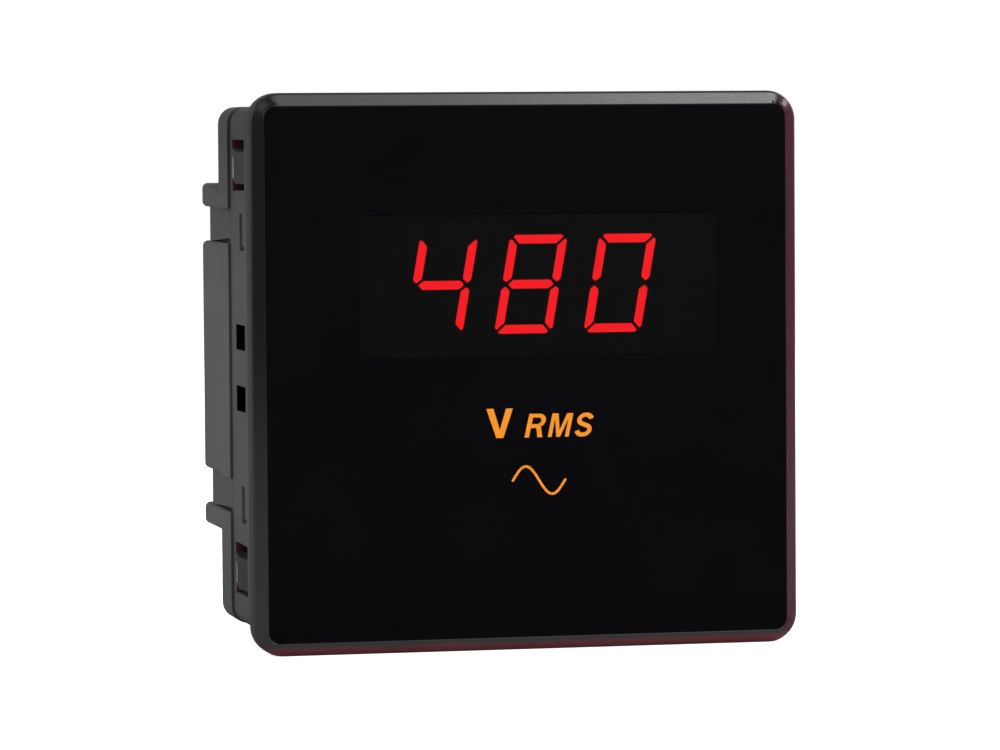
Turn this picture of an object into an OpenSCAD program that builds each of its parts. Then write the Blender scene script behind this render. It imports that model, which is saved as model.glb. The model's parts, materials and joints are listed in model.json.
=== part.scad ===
// Panel-mounted three-digit meter, millimetres.
// X runs to the right seen from the front, Y to the rear and Z up. The origin is the centre of the
// bezel's rear face, which seats on the panel.

/* [Bezel] */
// Width and height of the square bezel
bezel_size = 96; // [95:0.5:99]
// Radius of the bezel's outer corners
bezel_corner_r = 5; // [4:0.25:8]
// Depth of the bezel's straight rim, from the panel face forwards
rim_depth = 4.1; // [3.6:0.1:6]
// Depth of the chamfer in front of the rim
chamfer_depth = 1.6; // [1:0.1:2.5]
// How far the chamfer comes in from the rim
chamfer_inset = 2.2; // [1.6:0.1:2.8]
// Thickness of the front wall behind the film
front_wall = 2.4; // [2:0.1:3]

/* [Film and window] */
// Thickness of the front film
film_thickness = 0.5; // [0.3:0.1:0.8]
// Radius of the film's corners
film_corner_r = 2; // [1.5:0.25:4]
// Gap left all round the film and the lens
film_gap = 0.1; // [0.05:0.05:0.2]
// Width of the display window
window_w = 63.2; // [60:0.2:64]
// Height of the display window
window_h = 24.5; // [23:0.5:26]
// Window centre, to the right of the meter's centre
window_x = 2; // [-1:0.5:2.5]
// Window centre, above the meter's centre
window_z = 14.9; // [13:0.1:15.5]
// Radius of the window's corners
window_corner_r = 0.8; // [0.4:0.1:2]
// How far the lens flange laps behind the front wall
lens_lap = 1.5; // [1:0.1:1.8]
// Thickness of the lens flange
lens_flange = 1.2; // [0.8:0.1:1.6]

/* [Digits] */
// Height of a figure over its lit bars
figure_h = 17; // [15:0.25:18]
// Width of a figure over its lit bars, before it is slanted
figure_w = 10.2; // [9:0.1:10.6]
// Centre distance from one digit to the next
digit_pitch = 15.8; // [15.6:0.1:16.5]
// Middle digit's centre, to the right of the meter's centre
digit_x = 1.4; // [0:0.1:2]
// Slant of the figures in degrees
digit_slant = 10; // [0:0.5:12]
// Width of one lit bar
bar_w = 1.5; // [1.2:0.1:2]
// Gap between neighbouring bars
bar_gap = 0.35; // [0.2:0.05:0.6]
// Width of a digit housing
housing_w = 15.4; // [15:0.1:15.5]
// Height of a digit housing
housing_h = 22.5; // [21.5:0.5:23]
// Depth of a digit housing
housing_d = 8; // [7:0.5:10]
// Clear space between the lens and the digits
digit_air = 0.3; // [0.2:0.1:0.6]

/* [Case] */
// Width of the case between its two recessed sides
case_w = 90.4; // [89.6:0.2:91]
// Height of the case
case_h = 91.8; // [91:0.2:92]
// Radius of the case's long edges
case_corner_r = 3; // [2.5:0.25:4]
// Thickness of the case walls
case_wall = 2; // [1.6:0.1:2.2]
// Distance from the panel face to the seam with the rear cover
seam_y = 33.5; // [32.5:0.5:36]
// Clearance between the case and the bezel's pocket
case_fit = 0.2; // [0.1:0.05:0.3]
// Centre of each snap window, above or below the meter's centre
snap_z = 35.6; // [35:0.1:36]
// Height of a snap window
snap_window_h = 8.9; // [8.5:0.1:9.5]
// Front edge of the snap windows, from the panel face
side_opening_y = 18.8; // [18:0.1:19]
// Length of a snap window from front to rear
snap_window_len = 12.7; // [12:0.1:12.7]
// Front edge of the clamp sockets, from the panel face
socket_y = 19.3; // [18.5:0.1:20]
// Length of a clamp socket from front to rear
socket_len = 9.4; // [8.5:0.1:10]
// Height of a clamp socket
socket_h = 4.3; // [4.2:0.1:5]
// Distance of each clamp socket's centre from the meter's middle
socket_z = 5.4; // [4.5:0.1:6.5]
// Number of cooling slots in the top and in the bottom
vent_count = 9; // [3:1:11]
// Width of a cooling slot
vent_w = 2; // [1.5:0.1:2.5]
// Length of a cooling slot
vent_len = 15; // [10:0.5:16]

/* [Snap arms] */
// Thickness of a snap arm
arm_t = 1.8; // [1.4:0.1:2.2]
// Width of a snap arm
arm_w = 7.6; // [6.5:0.1:8.2]
// Clearance between a snap arm and the case wall
arm_fit = 0.25; // [0.15:0.05:0.4]
// Centre of the upper pair of hooks, above the meter's centre
upper_hook_z = 35.2; // [35:0.1:35.6]
// Centre of the lower pair of hooks, below the meter's centre
lower_hook_z = 36.4; // [35.6:0.1:36.4]
// Height of a snap hook
hook_h = 5.7; // [5:0.1:6]
// How far a hook stands out of its window
hook_rise = 0.2; // [0:0.05:0.3]

/* [Rear cover] */
// Total depth behind the panel face
total_depth = 62; // [60:0.5:66]
// Depth at the terminal step, from the panel face
step_y = 43.5; // [42:0.5:45]
// Top of the deep middle part
deck_top_z = 32.2; // [31.8:0.1:33]
// Bottom of the deep middle part, below the centre
deck_bottom_z = 30.2; // [29:0.1:32]
// Height of the upper clamp tab
upper_tab_h = 4.3; // [3.5:0.1:4.8]
// Height of the lower clamp tab
lower_tab_h = 4; // [3.5:0.1:4.8]
// Height of a clamp track
track_h = 6.2; // [5.5:0.1:6.8]
// How far the skin stands above the case's side
skin = 0.5; // [0.4:0.1:0.8]
// How far the clamp tracks stop short of the rear
track_stop = 5.5; // [4:0.25:7]
// Depth of the notch behind a clamp track, in from the side
track_notch = 3.2; // [2.5:0.1:4]
// Radius of the outer edges of the clamp tabs and the side plate
tab_edge_r = 1; // [0.5:0.1:1.4]
// Radius of the rear edges
rear_corner_r = 1.8; // [1:0.1:2]
// Height of the lead-in groove along the lower edge of each clamp track
track_groove_h = 0.9; // [0.5:0.1:1.2]
// Length of the ratchet ramp ahead of each clamp track
ratchet_len = 4.2; // [3:0.1:4.5]
// Depth of the ratchet ramp
ratchet_depth = 0.5; // [0.3:0.1:0.6]
// Thickness of the rear cover's walls
cover_wall = 1.8; // [1.5:0.1:2]
// Depth of the cover's lip inside the case
lip_len = 1.6; // [1.2:0.1:1.7]
// Number of cooling slots in each row of the rear wall
rear_vent_count = 10; // [4:1:11]

/* [Boards] */
// Thickness of both circuit boards
board_t = 1.6; // [1.2:0.1:2]
// Clearance between a board and the walls round it
board_fit = 1.2; // [0.8:0.1:1.6]
// Height of the display board
display_board_h = 74; // [73:0.5:76]
// Distance of a board screw from the board's edges
screw_edge = 4; // [3.8:0.1:4.4]
// Height of the bosses under the main board
main_boss_len = 4; // [3.4:0.1:5]
// Diameter of the board screws
board_screw_d = 2.9; // [2.5:0.1:3]
// Diameter of the board screw heads
board_screw_head_d = 5.6; // [5:0.1:6]
// Diameter of the screw bosses
boss_d = 6.4; // [6:0.1:6.8]

/* [Terminals] */
// Centre distance from one terminal to the next
pole_pitch = 10; // [9.8:0.1:11]
// Thickness of the barriers between terminals
barrier_t = 1.5; // [1.2:0.1:1.8]
// Thickness of the terminal block's base
block_base = 5; // [4.8:0.1:5.6]
// Diameter of the terminal screws
clamp_screw_d = 4; // [3.5:0.1:4]
// Diameter of the terminal screw heads
clamp_head_d = 6.6; // [6:0.1:6.8]
// Height of the terminal screw heads
clamp_head_h = 2.7; // [2.2:0.1:3]
// Length of the terminal screws under the head
clamp_screw_len = 6; // [5.8:0.1:6.2]
// Size of the square wire saddle
saddle_size = 7; // [6.6:0.1:7.2]
// Thickness of the wire saddle
saddle_t = 1; // [0.8:0.1:1.2]
// Thickness of the contact plate
contact_t = 1.4; // [1.2:0.1:1.6]

/* [Hidden] */

$fn = 48;
past = 1;          // how far a cutter runs past the face it opens
hole_gap = 0.05;   // radial clearance of a screw in its hole
POLES = 4;

film_w = bezel_size - 2 * chamfer_inset - 0.4;

// Planes, from the front to the rear
front_y = -(rim_depth + chamfer_depth);
film_floor_y = front_y + film_thickness;
wall_back_y = film_floor_y + front_wall;
lens_back_y = wall_back_y + lens_flange;
digit_face_y = lens_back_y + digit_air;
display_board_y = digit_face_y + housing_d;
display_back_y = display_board_y + board_t;
step_floor_y = step_y - cover_wall;
main_back_y = step_floor_y - main_boss_len;
main_board_y = main_back_y - board_t;
rear_floor_y = total_depth - cover_wall;

// Case and rear cover; x is half a width and z half a height
case_x = case_w / 2;
case_z = case_h / 2;
case_in_x = case_x - case_wall;
case_in_z = case_z - case_wall;
case_in_r = max(case_corner_r - case_wall, 0.5);
skin_x = case_x + skin;
side_opening_end = side_opening_y + snap_window_len;
upper_track_z = deck_top_z - upper_tab_h - track_h;
lower_track_z = -(deck_bottom_z - lower_tab_h - track_h);
deck_in_x = case_x - track_notch - cover_wall;
lip_gap = 0.1;
lip_t = 0.9;
ratchet_y = side_opening_y + 5.4;
ratchet_notch_h = 0.7;
ratchet_notch_depth = 1.4;

// Two rows of cooling slots in the rear wall
rear_vent_z = 9;
rear_vent_len = 14;

// Catches between the rear cover and the case
catch_w = 8;
catch_x = 29;
catch_y = seam_y - 6;
catch_len = 2.4;

// Snap arms
arm_out = case_in_x - arm_fit;
arm_in = arm_out - arm_t;
hook_front_y = side_opening_y + case_fit;
hook_end_y = side_opening_end - case_fit;
hook_out = case_x + hook_rise;

// Boards
display_board_w = 2 * (arm_in - board_fit);
main_board_w = 2 * (case_in_x - board_fit - 1);
main_board_h = 2 * (case_in_z - board_fit - 1);
display_screw_x = display_board_w / 2 - screw_edge;
display_screw_z = display_board_h / 2 - screw_edge;
main_screw_x = main_board_w / 2 - screw_edge;
main_screw_z = main_board_h / 2 - screw_edge;
screw_head_h = 2;
display_screw_len = 8;
main_screw_len = board_t + main_boss_len - 0.5;

// Pin header that links the two boards; leg_pitch is the spacing of all the legs
leg_pitch = 2.54;
link_edge = 10;
link_x = link_edge - display_board_w / 2;
link_z = -12;
link_pin_count = 8;
link_body_w = 2.5;
link_len = link_pin_count * leg_pitch;
socket_strip_h = 8.5;

// Chip and crystal on the back of the display board
board_parts_z = -16;
chip_size = 10;
chip_h = 1.6;
chip_leg_pitch = 0.8;
chip_x = 8;
crystal_x = -8;
crystal_len = 11;
crystal_w = 4.6;
crystal_h = 3.5;

// Parts on the front of the main board: a column of supply parts and the divider beside it
supply_x = -14;
capacitor_z = -24;
capacitor_d = 10;
capacitor_len = 19;
rectifier_z = -4;
rectifier_w = 8.4;
rectifier_t = 3;
rectifier_h = 6.4;
regulator_z = 8.8;
regulator_w = 10;
regulator_t = 4.4;
regulator_body_len = 9;
regulator_tab_len = 6.5;
regulator_hole_d = 3.6;
lead_len = 4;
divider_x = 6;
divider_z = 18;
divider_pitch = 6.2;
resistor_d = 3.2;
resistor_len = 10;
varistor_x = -6;
varistor_z = 24;
varistor_d = 10;
varistor_t = 4;

// Transformer: laminated core with two windows, a flanged bobbin on its middle leg
core_w = 32;
core_h = 27;
core_t = 12;
core_leg = 5.4;
core_x = 12;
core_z = -14;
core_clear = 6;
core_y = main_board_y - core_clear - core_t / 2;
lamination_step = 0.2;
bobbin_wall = 0.8;
bobbin_foot = 3;
winding_t = 4;
core_gap = 0.15;

// Figures
bar_half = bar_w / 2;
nip = bar_w * 0.22;
dot_x = (figure_w - bar_w) / 2 + bar_half + 1.4;
pin_row_z = housing_h / 2 - 1.4;
half_w = (figure_w - bar_w) / 2;
half_h = (figure_h - bar_w) / 2;
bar_depth = 0.8;
bar_fit = 0.05;
pin_d = 0.5;
pin_tail = 1.2;

// Terminals
block_z0 = deck_top_z;
block_z1 = case_z;
block_w = POLES * pole_pitch + barrier_t;
pole_in = pole_pitch - barrier_t;
contact_y = step_y + block_base;
contact_top_y = contact_y + contact_t;
saddle_top_y = contact_top_y + saddle_t;
block_sill = 1.4;
pole_z = block_z0 + block_sill + 0.3 + saddle_size / 2;
contact_gap = 0.4;
collar_len = 2.4;
collar_d = 6;
tail_w = 1.6;
tail_t = 0.8;
tail_z = block_z0 + block_sill + contact_gap + tail_t / 2;

// ---------- shared shapes ----------

// Rounded rectangle in its own plane
module rounded_rect(w, h, r) {
    square([w - 2 * r, h], center = true);
    square([w, h - 2 * r], center = true);
    for (sx = [-1, 1], sy = [-1, 1])
        translate([sx * (w / 2 - r), sy * (h / 2 - r)]) circle(r = r);
}

// Extrudes an XZ outline from y0 to y1
module along_y(y0, y1) {
    translate([0, y1, 0]) rotate([90, 0, 0]) linear_extrude(y1 - y0) children();
}

// Rounded square or rectangular bar that lies along Y
module rounded_bar(w, h, r, y0, y1) {
    along_y(y0, y1) rounded_rect(w, h, r);
}

// Plain block given by its lowest corner and its highest corner
module block(low, high) {
    translate(low) cube(high - low);
}

// Cylinder along Y
module rod(d, y0, y1) {
    translate([0, y1, 0]) rotate([90, 0, 0]) cylinder(d = d, h = y1 - y0);
}

// Cone along Y, d0 at y0 and d1 at y1
module cone(d0, d1, y0, y1) {
    translate([0, y0, 0]) rotate([-90, 0, 0]) cylinder(d1 = d0, d2 = d1, h = y1 - y0);
}

// Puts its children at the four corners of a rectangle in XZ
module at_corners(x, z) {
    for (sx = [-1, 1], sz = [-1, 1]) translate([sx * x, 0, sz * z]) children();
}

// Bar across the whole width whose YZ outline has rounded corners
module side_bar(half, y0, y1, z0, z1, r) {
    translate([-half, (y0 + y1) / 2, (z0 + z1) / 2])
        rotate([90, 0, 90])
            linear_extrude(2 * half) rounded_rect(y1 - y0, z1 - z0, r);
}

// Square plate whose front edge is chamfered all round; y0 is the front
module chamfered_plate(size, r, inset, y0, y1) {
    half = size / 2;
    run = half - r;
    slope = [[y1, -half], [y1, half], [y0, half - inset], [y0, -(half - inset)]];
    translate([-run, 0, 0]) rotate([90, 0, 90]) linear_extrude(2 * run) polygon(slope);
    translate([0, 0, -run]) linear_extrude(2 * run) polygon([for (p = slope) [p[1], p[0]]]);
    at_corners(run, run) cone(2 * (r - inset), 2 * r, y0, y1);
}

// Pan-head screw along Y; its head's seat is at y = 0 and the shank points to -Y
module pan_screw(d, len, head_d, head_h, slot_w) {
    difference() {
        union() {
            rod(d, -len, 0.01);
            rod(head_d, 0, head_h * 0.6);
            cone(head_d, head_d * 0.72, head_h * 0.6, head_h);
        }
        for (a = [0, 90])
            rotate([0, a, 0])
                block([-head_d * 0.3, head_h * 0.4, -slot_w / 2], [head_d * 0.3, head_h + past, slot_w / 2]);
    }
}

// Row of upright slots cut through a wall; the slots run along Y
module slot_row(count, w, len, pitch, y, z0, z1) {
    for (i = [0 : count - 1])
        translate([(i - (count - 1) / 2) * pitch, y, z0]) {
            linear_extrude(z1 - z0) {
                square([w, len - w], center = true);
                for (s = [-1, 1]) translate([0, s * (len - w) / 2]) circle(d = w);
            }
        }
}

// ---------- front ----------

module window_outline(grow) {
    translate([window_x, window_z])
        rounded_rect(window_w + 2 * grow, window_h + 2 * grow, window_corner_r + grow);
}

// Sprung arm whose hook fills a window of the case. The hook falls away towards the front, its
// rear end is raised and bevelled, and a slot lightens it behind the bevel.
module snap_arm(z) {
    half = hook_h / 2;
    crest_y = hook_end_y - 1;
    shoulder_y = hook_end_y - 4;
    slot_half = hook_h * 0.3;
    block([arm_in, wall_back_y - 0.5, z - arm_w / 2], [arm_out, hook_end_y, z + arm_w / 2]);
    difference() {
        intersection() {
            translate([0, 0, z - hook_h])
                linear_extrude(2 * hook_h)
                    polygon([
                        [arm_in, hook_front_y], [hook_out - 0.8, hook_front_y], [hook_out, shoulder_y],
                        [hook_out, crest_y], [arm_out, hook_end_y], [arm_in, hook_end_y]
                    ]);
            translate([arm_in, 0, z]) rotate([90, 0, 90])
                linear_extrude(hook_out - arm_in + past)
                    polygon([
                        [hook_front_y, -half], [shoulder_y, -half], [hook_end_y, -half + 1.2],
                        [hook_end_y, half + 0.7], [shoulder_y, half], [hook_front_y, half]
                    ]);
        }
        block([hook_out - 1.3, crest_y - 2.4, z - slot_half], [hook_out + past, crest_y - 0.9, z + slot_half]);
    }
}

module front_bezel() {
    color([0.06, 0.06, 0.07])
    difference() {
        union() {
            difference() {
                union() {
                    rounded_bar(bezel_size, bezel_size, bezel_corner_r, -rim_depth, 0);
                    chamfered_plate(bezel_size, bezel_corner_r, chamfer_inset, front_y, -rim_depth);
                }
                rounded_bar(case_w + 2 * case_fit, case_h + 2 * case_fit, case_corner_r + case_fit,
                            wall_back_y, past);
            }
            at_corners(display_screw_x, display_screw_z) rod(boss_d, wall_back_y - 0.5, display_board_y);
            for (side = [0, 1], z = [upper_hook_z, -lower_hook_z])
                mirror([side, 0, 0]) snap_arm(z);
        }
        rounded_bar(film_w + 2 * film_gap, film_w + 2 * film_gap, film_corner_r + film_gap,
                    front_y - past, film_floor_y);
        along_y(film_floor_y - past, wall_back_y + past) window_outline(0);
        at_corners(display_screw_x, display_screw_z)
            rod(board_screw_d + 2 * hole_gap, display_back_y - display_screw_len - 0.5, display_board_y + past);
    }
}

module front_film() {
    color([0.03, 0.03, 0.035])
    difference() {
        rounded_bar(film_w, film_w, film_corner_r, front_y, film_floor_y);
        along_y(front_y - past, film_floor_y + past) window_outline(0);
    }
}

module display_window() {
    color([0.1, 0.02, 0.02, 0.7])
    union() {
        along_y(front_y, wall_back_y) window_outline(-film_gap);
        along_y(wall_back_y, lens_back_y) window_outline(lens_lap);
    }
}

// ---------- figures ----------

// Bars are named a to g, clockwise from the top, with g in the middle.
// Outlines are drawn upright about the figure's centre and then slanted.
function slanted(points) = [for (p = points) [p[0] + p[1] * tan(digit_slant), p[1]]];
function flipped_x(points) = [for (p = points) [-p[0], p[1]]];
function flipped_z(points) = [for (p = points) [p[0], -p[1]]];

top_bar = [
    [-half_w - bar_half + bar_gap + 2 * nip, half_h + bar_half],
    [half_w + bar_half - bar_gap - 2 * nip, half_h + bar_half],
    [half_w + bar_half - bar_gap - nip, half_h + bar_half - nip],
    [half_w - bar_half - bar_gap, half_h - bar_half],
    [-half_w + bar_half + bar_gap, half_h - bar_half],
    [-half_w - bar_half + bar_gap + nip, half_h + bar_half - nip]
];
left_bar = [
    [-half_w - bar_half, half_h + bar_half - bar_gap - 2 * nip],
    [-half_w - bar_half + nip, half_h + bar_half - bar_gap - nip],
    [-half_w + bar_half, half_h - bar_half - bar_gap],
    [-half_w + bar_half, bar_half + bar_gap],
    [-half_w - bar_half * 0.2, bar_gap],
    [-half_w - bar_half, bar_gap + bar_half * 0.8]
];
middle_bar = [
    [-half_w + bar_gap, 0],
    [-half_w + bar_half + bar_gap, bar_half],
    [half_w - bar_half - bar_gap, bar_half],
    [half_w - bar_gap, 0],
    [half_w - bar_half - bar_gap, -bar_half],
    [-half_w + bar_half + bar_gap, -bar_half]
];

// Outline of the bar with the given letter
function bar_outline(letter) = slanted(
    letter == "a" ? top_bar :
    letter == "b" ? flipped_x(left_bar) :
    letter == "c" ? flipped_z(flipped_x(left_bar)) :
    letter == "d" ? flipped_z(top_bar) :
    letter == "e" ? flipped_z(left_bar) :
    letter == "f" ? left_bar : middle_bar
);

// Bars of one figure; place is -1, 0 or 1 from left to right
module bars(letters, place, grow) {
    centre_x = digit_x + place * digit_pitch;
    centre_z = window_z;
    translate([centre_x, 0, centre_z])
        along_y(digit_face_y, digit_face_y + bar_depth + grow)
            for (letter = letters) polygon(bar_outline(letter));
}

module dot(place) {
    translate([digit_x + place * digit_pitch + dot_x - half_h * tan(digit_slant), 0, window_z - half_h])
        rod(bar_w, digit_face_y, digit_face_y + bar_depth);
}

module digit(place) {
    centre_x = digit_x + place * digit_pitch;
    color([0.12, 0.12, 0.13])
    difference() {
        translate([centre_x, 0, window_z])
            rounded_bar(housing_w, housing_h, 0.3, digit_face_y, display_board_y);
        bars("abcdefg", place, 0);
        dot(place);
        translate([centre_x, 0, window_z])
            block([-housing_w / 2 + 2.4, display_board_y - 1, -housing_h / 2 + 2.8],
                  [housing_w / 2 - 2.4, display_board_y + past, housing_h / 2 - 2.8]);
    }
}

module lit_bars(letters, place) {
    color([0.93, 0.1, 0.12]) bars(letters, place, 0);
}

module dark_bars() {
    color([0.1, 0.03, 0.03]) {
        bars("ade", -1, 0);
        bars("g", 1, 0);
        for (place = [-1, 0, 1]) dot(place);
    }
}

// Legs of all three digits: five above and five below each figure
module leg_holes_or_pins(d, y0, y1) {
    for (place = [-1, 0, 1], i = [-2 : 2], s = [-1, 1])
        translate([digit_x + place * digit_pitch + i * leg_pitch, 0, window_z + s * pin_row_z])
            rod(d, y0, y1);
}

module digit_pins() {
    color([0.75, 0.75, 0.78]) leg_holes_or_pins(pin_d, display_board_y, display_back_y + pin_tail);
}

// ---------- display board ----------

module link_places() {
    for (i = [0 : link_pin_count - 1])
        translate([link_x, 0, link_z + (i - (link_pin_count - 1) / 2) * leg_pitch]) children();
}

module display_board() {
    color([0.06, 0.28, 0.14])
    difference() {
        rounded_bar(display_board_w, display_board_h, 1.5, display_board_y, display_back_y);
        at_corners(display_screw_x, display_screw_z)
            rod(board_screw_d + 0.5, display_board_y - past, display_back_y + past);
        leg_holes_or_pins(pin_d + 0.2, display_board_y - past, display_back_y + past);
        link_places() rod(0.9, display_board_y - past, display_back_y + past);
    }
}

module display_screws() {
    color([0.7, 0.7, 0.72])
    at_corners(display_screw_x, display_screw_z)
        translate([0, display_back_y, 0])
            pan_screw(board_screw_d, display_screw_len, board_screw_head_d, screw_head_h, 0.9);
}

// Square chip with gull-wing legs on the back of the display board
module microcontroller() {
    side = chip_size / 2;
    color([0.1, 0.1, 0.11])
    translate([chip_x, 0, board_parts_z]) {
        block([-side, display_back_y + 0.1, -side], [side, display_back_y + chip_h, side]);
        for (a = [0 : 90 : 270], i = [-5 : 5])
            rotate([0, a, 0])
                block([side - 0.1, display_back_y, i * chip_leg_pitch - 0.18],
                      [side + 1, display_back_y + 0.5, i * chip_leg_pitch + 0.18]);
    }
}

// Low metal can beside the chip
module crystal() {
    color([0.78, 0.78, 0.8])
    translate([crystal_x, 0, board_parts_z])
        along_y(display_back_y, display_back_y + crystal_h)
            rounded_rect(crystal_len, crystal_w, crystal_w / 2 - 0.1);
}

// ---------- link between the boards ----------

module link_header() {
    color([0.08, 0.08, 0.09])
    difference() {
        for (y = [[display_back_y, display_back_y + link_body_w], [main_board_y - socket_strip_h, main_board_y]])
            translate([link_x, 0, link_z])
                block([-link_body_w / 2, y[0], -link_len / 2], [link_body_w / 2, y[1], link_len / 2]);
        link_places() rod(0.75, display_back_y - past, main_board_y + past);
    }
}

module link_pins() {
    color([0.8, 0.66, 0.3])
    link_places() rod(0.64, display_board_y - 0.6, main_back_y + 1.2);
}

// ---------- main board ----------

module tail_places() {
    for (i = [0 : POLES - 1]) translate([(i - (POLES - 1) / 2) * pole_pitch, 0, tail_z]) children();
}

module main_board() {
    color([0.06, 0.28, 0.14])
    difference() {
        rounded_bar(main_board_w, main_board_h, 2, main_board_y, main_back_y);
        at_corners(main_screw_x, main_screw_z) rod(board_screw_d + 0.5, main_board_y - past, main_back_y + past);
        link_places() rod(0.9, main_board_y - past, main_back_y + past);
        tail_places() block([-tail_w / 2 - 0.2, main_board_y - past, -tail_t / 2 - 0.2],
                            [tail_w / 2 + 0.2, main_back_y + past, tail_t / 2 + 0.2]);
    }
}

module main_screws() {
    color([0.7, 0.7, 0.72])
    at_corners(main_screw_x, main_screw_z)
        translate([0, main_board_y, 0])
            mirror([0, 1, 0])
                pan_screw(board_screw_d, main_screw_len, board_screw_head_d, screw_head_h, 0.9);
}

module core_window(grow) {
    for (s = [-1, 1])
        block([s > 0 ? core_leg : -core_w / 2 + core_leg + grow, -core_t, -core_h / 2 + core_leg + grow],
              [s > 0 ? core_w / 2 - core_leg - grow : -core_leg, core_t, core_h / 2 - core_leg - grow]);
}

module transformer_core() {
    color([0.3, 0.3, 0.32])
    translate([core_x, core_y, core_z])
    difference() {
        union() {
            block([-core_w / 2, -core_t / 2, -core_h / 2], [core_w / 2, core_t / 2, core_h / 2]);
            for (i = [-2 : 2])
                block([-core_w / 2 - lamination_step, i * 2.2 - 0.6, -core_h / 2 - lamination_step],
                      [core_w / 2 + lamination_step, i * 2.2 + 0.6, core_h / 2 + lamination_step]);
        }
        core_window(0);
    }
}

module transformer_bobbin() {
    in_x = core_leg + core_gap;
    in_y = core_t / 2 + lamination_step + core_gap;
    out_x = in_x + bobbin_wall;
    out_y = in_y + bobbin_wall;
    top_z = core_h / 2 - core_leg - core_gap;
    flange_x = core_w / 2 - core_leg - core_gap;
    flange_y = out_y + winding_t;
    color([0.85, 0.83, 0.75])
    translate([core_x, core_y, core_z])
    difference() {
        union() {
            block([-out_x, -out_y, -top_z], [out_x, out_y, top_z]);
            for (s = [-1, 1])
                block([-flange_x, -flange_y, s > 0 ? top_z - bobbin_wall : -top_z],
                      [flange_x, flange_y, s > 0 ? top_z : -top_z + bobbin_wall]);
            for (s = [-1, 1])
                block([-flange_x, flange_y - 0.1, s > 0 ? top_z - bobbin_foot : -top_z],
                      [flange_x, main_board_y - core_y, s > 0 ? top_z : -top_z + bobbin_foot]);
        }
        block([-in_x, -in_y, -core_h], [in_x, in_y, core_h]);
    }
}

module transformer_winding() {
    out_x = core_leg + core_gap + bobbin_wall;
    out_y = core_t / 2 + lamination_step + core_gap + bobbin_wall;
    reach = min(winding_t - 0.4, core_w / 2 - core_leg - core_gap - out_x - 0.2);
    half_len = core_h / 2 - core_leg - core_gap - bobbin_wall;
    color([0.72, 0.42, 0.18])
    translate([core_x, core_y, core_z - half_len])
        linear_extrude(2 * half_len)
            difference() {
                rounded_rect(2 * (out_x + reach), 2 * (out_y + winding_t - 0.6), 2);
                square([2 * out_x, 2 * out_y], center = true);
            }
}

// Upright can on the board, narrower at its crimped foot
module supply_capacitor() {
    top_y = main_board_y - capacitor_len;
    color([0.12, 0.15, 0.3])
    translate([supply_x, 0, capacitor_z]) {
        rod(capacitor_d, top_y, main_board_y - 1);
        rod(capacitor_d - 0.8, main_board_y - 1, main_board_y);
        cone(capacitor_d - 1, capacitor_d, top_y - 0.6, top_y);
    }
}

module bridge_rectifier() {
    color([0.1, 0.1, 0.11])
    translate([supply_x, 0, rectifier_z]) {
        block([-rectifier_w / 2, main_board_y - 0.6 - rectifier_t, -rectifier_h / 2],
              [rectifier_w / 2, main_board_y - 0.6, rectifier_h / 2]);
        for (sx = [-1, 1], sz = [-1, 1])
            translate([sx * leg_pitch, 0, sz * (rectifier_h / 2 + 0.3)])
                block([-0.3, main_board_y - 0.6 - rectifier_t / 2, -0.5], [0.3, main_board_y, 0.5]);
    }
}

// Upright power regulator: plastic body, metal tab and three legs in one solid
module voltage_regulator() {
    side = regulator_w / 2;
    body_y = main_board_y - lead_len;
    body_top_y = body_y - regulator_body_len;
    tab_top_y = body_top_y - regulator_tab_len;
    color([0.15, 0.15, 0.16])
    translate([supply_x, 0, regulator_z])
    difference() {
        union() {
            block([-side, body_top_y, 0], [side, body_y, regulator_t]);
            block([-side, tab_top_y, 0], [side, body_y, regulator_t * 0.3]);
            for (i = [-1 : 1])
                block([i * leg_pitch - 0.4, body_y - 0.2, regulator_t * 0.45],
                      [i * leg_pitch + 0.4, main_board_y, regulator_t * 0.45 + 0.5]);
        }
        translate([0, tab_top_y + regulator_tab_len * 0.45, -past])
            cylinder(d = regulator_hole_d, h = regulator_t + 2 * past);
    }
}

// Four axial resistors that divide down the measured voltage
module input_resistors() {
    lead_d = 0.7;
    half_len = resistor_len / 2;
    bend_z = half_len + 2.2;
    color([0.62, 0.5, 0.36])
    for (i = [0 : 3])
        translate([divider_x + i * divider_pitch, main_board_y - 1.8, divider_z])  {
            translate([0, 0, -half_len]) cylinder(d = resistor_d, h = resistor_len);
            for (s = [-1, 1]) {
                translate([0, 0, s > 0 ? half_len : -bend_z]) cylinder(d = lead_d, h = 2.2);
                translate([0, 0, s * bend_z]) rod(lead_d, -lead_d / 2, 1.8);
            }
        }
}

// Disc on edge with two legs
module varistor() {
    color([0.1, 0.25, 0.5])
    translate([varistor_x, 0, varistor_z]) {
        translate([0, main_board_y - varistor_d / 2 - 2.6, -varistor_t / 2])
            cylinder(d = varistor_d, h = varistor_t);
        for (s = [-1, 1]) translate([s * leg_pitch, 0, 0]) rod(0.8, main_board_y - lead_len, main_board_y);
    }
}

// ---------- case ----------

// Ratchet ramp in line with a clamp track: a shallow ramp that ends in a step, with a notch at its foot
module ratchet_stop(z0, z1) {
    front_y = ratchet_y - ratchet_len;
    translate([0, 0, z0])
        linear_extrude(z1 - z0)
            polygon([
                [case_x - ratchet_depth, ratchet_y], [case_x + past, ratchet_y],
                [case_x + past, front_y], [case_x, front_y]
            ]);
    block([case_x - ratchet_notch_depth, front_y - 0.4, z0],
          [case_x + past, ratchet_y - 0.3, z0 + ratchet_notch_h]);
}

// Hollow of the case: its walls' inner faces, moved outwards by grow
module case_hollow(grow, y0, y1) {
    rounded_bar(2 * (case_in_x + grow), 2 * (case_in_z + grow), case_in_r + grow, y0, y1);
}

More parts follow.
